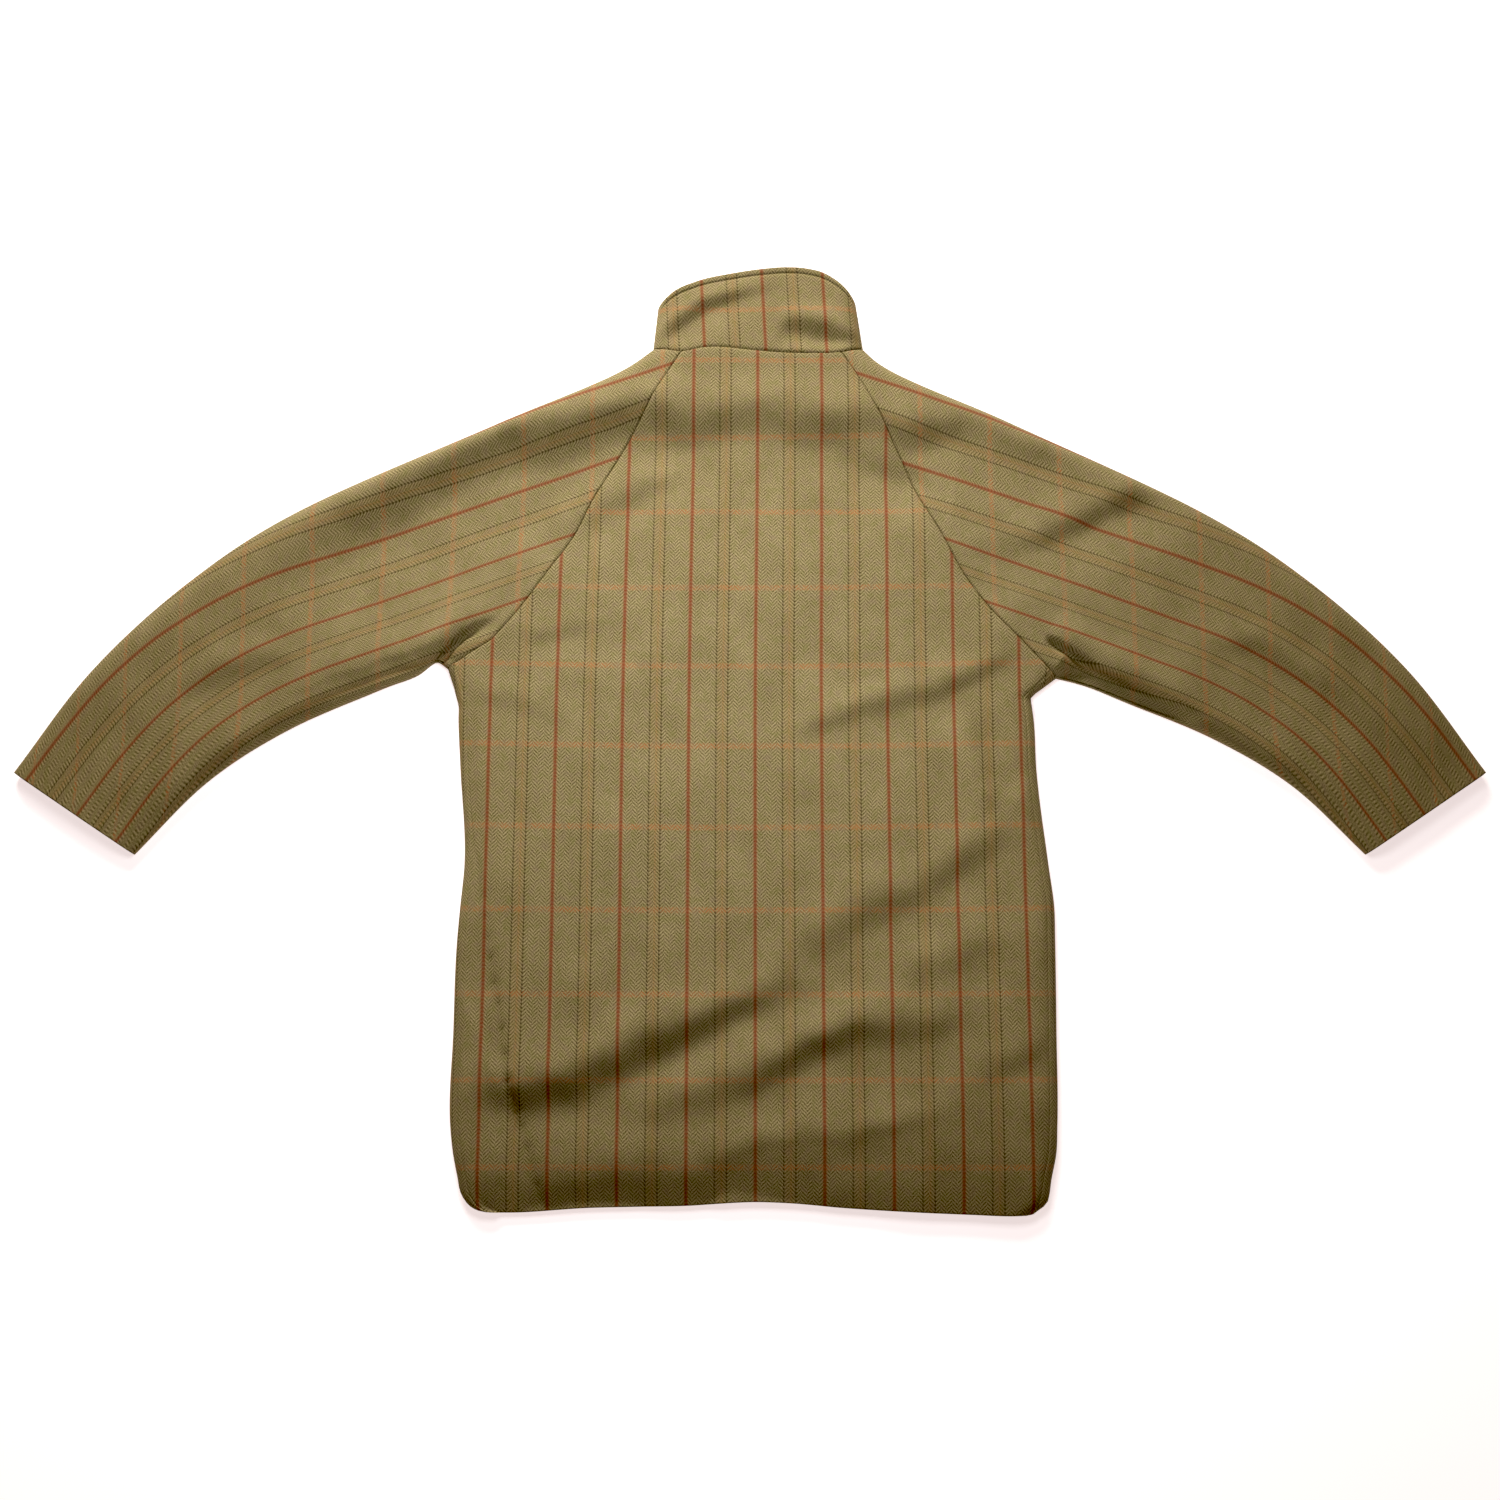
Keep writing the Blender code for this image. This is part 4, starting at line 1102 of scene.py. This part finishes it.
def collar_back(height):
    """One row of the collar's half that shows, from its left fold across the back to its right."""
    neck_left, neck_right = NECK_SIDE["left"][0], NECK_SIDE["right"][0]
    left = -neck_left + COLLAR_TAPER["left"] * height
    span = neck_right - COLLAR_TAPER["right"] * height - left
    middle = np.linspace(FOLD_STEPS[-1], span - FOLD_STEPS[-1], COLLAR_COLUMNS)[1:-1]
    across = np.concatenate((FOLD_STEPS, middle, span - FOLD_STEPS[::-1]))
    share = across / span
    neck_x = share * (neck_left + neck_right) - neck_left
    low = RAGLAN["y"][-1] + smooth(NECK["x"], NECK["rise"], neck_x) + SEAM_GAP
    high = smooth(COLLAR_TOP["share"], COLLAR_TOP["y"], share)
    x = left + across
    y = low + height * (high - low)
    inward = np.minimum(across, span - across)
    top = BODY_TOP + height * (COLLAR_TOP_HEIGHT - BODY_TOP)
    outer_z, inner_z, inset = rounded(inward, COLLAR_ROUND, EDGE_HEIGHT, top, COLLAR_WALL)
    inset = np.where(across < span / 2, inset, -inset)
    on_top = ease(0.0, CREASE_FADE, inward)
    lift = crease_height(COLLAR_CREASES, x, y) * on_top * ease(0.0, COLLAR_CREASE_FADE, y - low)
    sewn, stitched, draw = collar_relief(height, low, high)
    outer_z = outer_z + lift - (sewn + stitched + draw) * on_top
    slack = np.where(across < span / 2, -1.0, 1.0) * edge_slack(inward, COLLAR_ROUND, ROUND_RISE)
    cloth = collar_cloth(x + slack, y)
    return points(x, y, outer_z), points(x + inset, y, inner_z + lift + draw * on_top), cloth


collar_heights = np.concatenate((SEAM_STEPS[:-1] / COLLAR_HEIGHT,
                                 np.linspace(SEAM_STEPS[-1] / COLLAR_HEIGHT,
                                             1 - COLLAR_EDGE_STEPS[-1] / COLLAR_HEIGHT, COLLAR_ROWS),
                                 1 - COLLAR_EDGE_STEPS[-2::-1] / COLLAR_HEIGHT))
collar_rows = [(collar_front("left", height), collar_back(height), collar_front("right", height))
               for height in collar_heights]
collar_sheet = [np.array([np.vstack((left[grid][::-1], back_half[grid], right[grid]))
                          for left, back_half, right in collar_rows]) for grid in range(3)]
collar = shell("stand_collar", [collar_sheet])
collar.data.materials.append(coat_tweed)
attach(collar, "root")
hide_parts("collar")

# The stitching itself: short dark stitches in its groove, across the half that shows.
STITCH_PITCH = 0.0030
STITCH_LENGTH = 0.0022
THREAD = 0.0006
THREAD_COLOUR = (0.052, 0.040, 0.018, 1.0)


def stitch_row(name, line, material):
    """Stitches along a line of points, set out by nodes and kept as a mesh."""
    path = bpy.data.meshes.new(name)
    path.from_pydata([tuple(place) for place in line], [(n, n + 1) for n in range(len(line) - 1)], [])
    row = bpy.data.objects.new(name, path)
    bpy.context.collection.objects.link(row)

    tree = bpy.data.node_groups.new("stitch_row", "GeometryNodeTree")
    tree.interface.new_socket("Line", in_out="INPUT", socket_type="NodeSocketGeometry")
    sizes = {"Pitch": STITCH_PITCH, "Length": STITCH_LENGTH, "Thread": THREAD}
    sockets = {label: tree.interface.new_socket(label, in_out="INPUT", socket_type="NodeSocketFloat")
               for label in sizes}
    tree.interface.new_socket("Stitches", in_out="OUTPUT", socket_type="NodeSocketGeometry")
    given = tree.nodes.new("NodeGroupInput")
    result = tree.nodes.new("NodeGroupOutput")
    curve = tree.nodes.new("GeometryNodeMeshToCurve")
    places = tree.nodes.new("GeometryNodeCurveToPoints")
    places.mode = "LENGTH"
    stitch = tree.nodes.new("GeometryNodeMeshUVSphere")
    stitch.inputs["Segments"].default_value = 8
    stitch.inputs["Rings"].default_value = 6
    stitch.inputs["Radius"].default_value = 0.5
    size = tree.nodes.new("ShaderNodeCombineXYZ")
    turn = tree.nodes.new("FunctionNodeAlignRotationToVector")
    turn.axis = "X"
    copies = tree.nodes.new("GeometryNodeInstanceOnPoints")
    realize = tree.nodes.new("GeometryNodeRealizeInstances")
    dressed = tree.nodes.new("GeometryNodeSetMaterial")
    dressed.inputs["Material"].default_value = material
    for start, end in (
        (given.outputs["Line"], curve.inputs["Mesh"]),
        (curve.outputs["Curve"], places.inputs["Curve"]),
        (given.outputs["Pitch"], places.inputs["Length"]),
        (given.outputs["Length"], size.inputs["X"]),
        (given.outputs["Thread"], size.inputs["Y"]),
        (given.outputs["Thread"], size.inputs["Z"]),
        (places.outputs["Points"], copies.inputs["Points"]),
        (places.outputs["Tangent"], turn.inputs["Vector"]),
        (turn.outputs["Rotation"], copies.inputs["Rotation"]),
        (stitch.outputs["Mesh"], copies.inputs["Instance"]),
        (size.outputs["Vector"], copies.inputs["Scale"]),
        (copies.outputs["Instances"], realize.inputs["Geometry"]),
        (realize.outputs["Geometry"], dressed.inputs["Geometry"]),
        (dressed.outputs["Geometry"], result.inputs["Stitches"]),
    ):
        tree.links.new(start, end)
    modifier = row.modifiers.new("stitch_row", "NODES")
    modifier.node_group = tree
    for label, value in sizes.items():
        modifier[sockets[label].identifier] = value
    made = row.evaluated_get(bpy.context.evaluated_depsgraph_get())
    kept = bpy.data.meshes.new_from_object(made)
    row.modifiers.remove(modifier)
    row.data = kept
    return row


thread = bpy.data.materials.new("collar_thread")
thread.use_nodes = True
thread.node_tree.nodes["Principled BSDF"].inputs["Base Color"].default_value = THREAD_COLOUR
thread.node_tree.nodes["Principled BSDF"].inputs["Roughness"].default_value = 0.8
seen = np.array([back_half[0] for left, back_half, right in collar_rows])[::-1]
from_top = np.cumsum(np.linalg.norm(np.diff(seen, axis=0, prepend=seen[:1]), axis=2), axis=0)
stitch_line = [[np.interp(STITCH_IN, from_top[:, column], seen[:, column, axis]) for axis in range(3)]
               for column in range(len(FOLD_STEPS) // 2, seen.shape[1] - len(FOLD_STEPS) // 2)]
stitching = stitch_row("collar_stitching", stitch_line, thread)
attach(stitching, "root")

# Floor, light and camera
# White paper under the coat, lit until it burns out, so that only the contact shadow shows, a little pink.
# A window on the collar side draws the creases, and a soft lamp close over the chest leaves the hem darker.
FLOOR_SIZE = 30.0
FLOOR_DROP = 0.0004
LAMPS = {
    "window": {"at": (-0.34, 1.72, 0.83), "toward": (0.0, 0.05, 0.0), "size": (1.2, 0.6), "power": 60.0,
               "colour": (1.0, 0.97, 0.91)},
    "chest_lamp": {"at": (-0.03, 0.10, 0.56), "toward": (-0.03, 0.09, 0.0), "size": (0.40, 0.30),
                   "power": 2.82, "colour": (1.0, 1.05, 1.08)},
}

floor_mesh = bpy.data.meshes.new("floor")
half = FLOOR_SIZE / 2
floor_mesh.from_pydata([(-half, -half, -FLOOR_DROP), (half, -half, -FLOOR_DROP),
                        (half, half, -FLOOR_DROP), (-half, half, -FLOOR_DROP)], [], [(0, 1, 2, 3)])
floor = bpy.data.objects.new("floor", floor_mesh)
bpy.context.collection.objects.link(floor)
paper = bpy.data.materials.new("floor_paper")
paper.use_nodes = True
paper_shader = paper.node_tree.nodes["Principled BSDF"]
paper_shader.inputs["Base Color"].default_value = (0.90, 0.88, 0.88, 1.0)
paper_shader.inputs["Roughness"].default_value = 0.9
paper_shader.inputs["Specular IOR Level"].default_value = 0.1
paper_shader.inputs["Emission Color"].default_value = (1.0, 0.895, 0.920, 1.0)
paper_shader.inputs["Emission Strength"].default_value = 0.74
floor_mesh.materials.append(paper)

sky = bpy.data.worlds.new("studio")
sky.use_nodes = True
fill = sky.node_tree.nodes["Background"]
fill.inputs["Color"].default_value = (1.0, 0.62, 0.22, 1.0)
fill.inputs["Strength"].default_value = 0.10
wall = sky.node_tree.nodes.new("ShaderNodeBackground")
wall.inputs["Color"].default_value = (0.93, 0.91, 0.91, 1.0)
seen_wall = sky.node_tree.nodes.new("ShaderNodeMixShader")
for start, end in (
    (sky.node_tree.nodes.new("ShaderNodeLightPath").outputs["Is Camera Ray"], seen_wall.inputs[0]),
    (fill.outputs[0], seen_wall.inputs[1]),
    (wall.outputs[0], seen_wall.inputs[2]),
    (seen_wall.outputs[0], sky.node_tree.nodes["World Output"].inputs["Surface"]),
):
    sky.node_tree.links.new(start, end)
bpy.context.scene.world = sky

for name, lamp in LAMPS.items():
    light = bpy.data.lights.new(name, "AREA")
    light.shape = "RECTANGLE"
    light.size, light.size_y = lamp["size"]
    light.energy = lamp["power"]
    light.color = lamp["colour"]
    light_object = bpy.data.objects.new(name, light)
    light_object.location = lamp["at"]
    aim = Vector(lamp["toward"]) - Vector(lamp["at"])
    light_object.rotation_euler = aim.to_track_quat("-Z", "Y").to_euler()
    light_object.visible_camera = False
    bpy.context.collection.objects.link(light_object)

camera = bpy.data.objects.new("camera", bpy.data.cameras.new("camera"))
CAMERA_DISTANCE = 1.588
CAMERA_TILT = np.radians(10.4)
camera.data.lens = 40.0
camera.data.sensor_width = 36.0
camera.location = (0.0, -CAMERA_DISTANCE * np.sin(CAMERA_TILT), CAMERA_DISTANCE * np.cos(CAMERA_TILT))
camera.rotation_euler = (CAMERA_TILT, 0.0, 0.0)
bpy.context.collection.objects.link(camera)
bpy.context.scene.camera = camera
view = bpy.context.scene.view_settings
view.view_transform = "Standard"
view.use_curve_mapping = True
view.curve_mapping.black_level = (0.02, 0.02, 0.02)
view.curve_mapping.update()
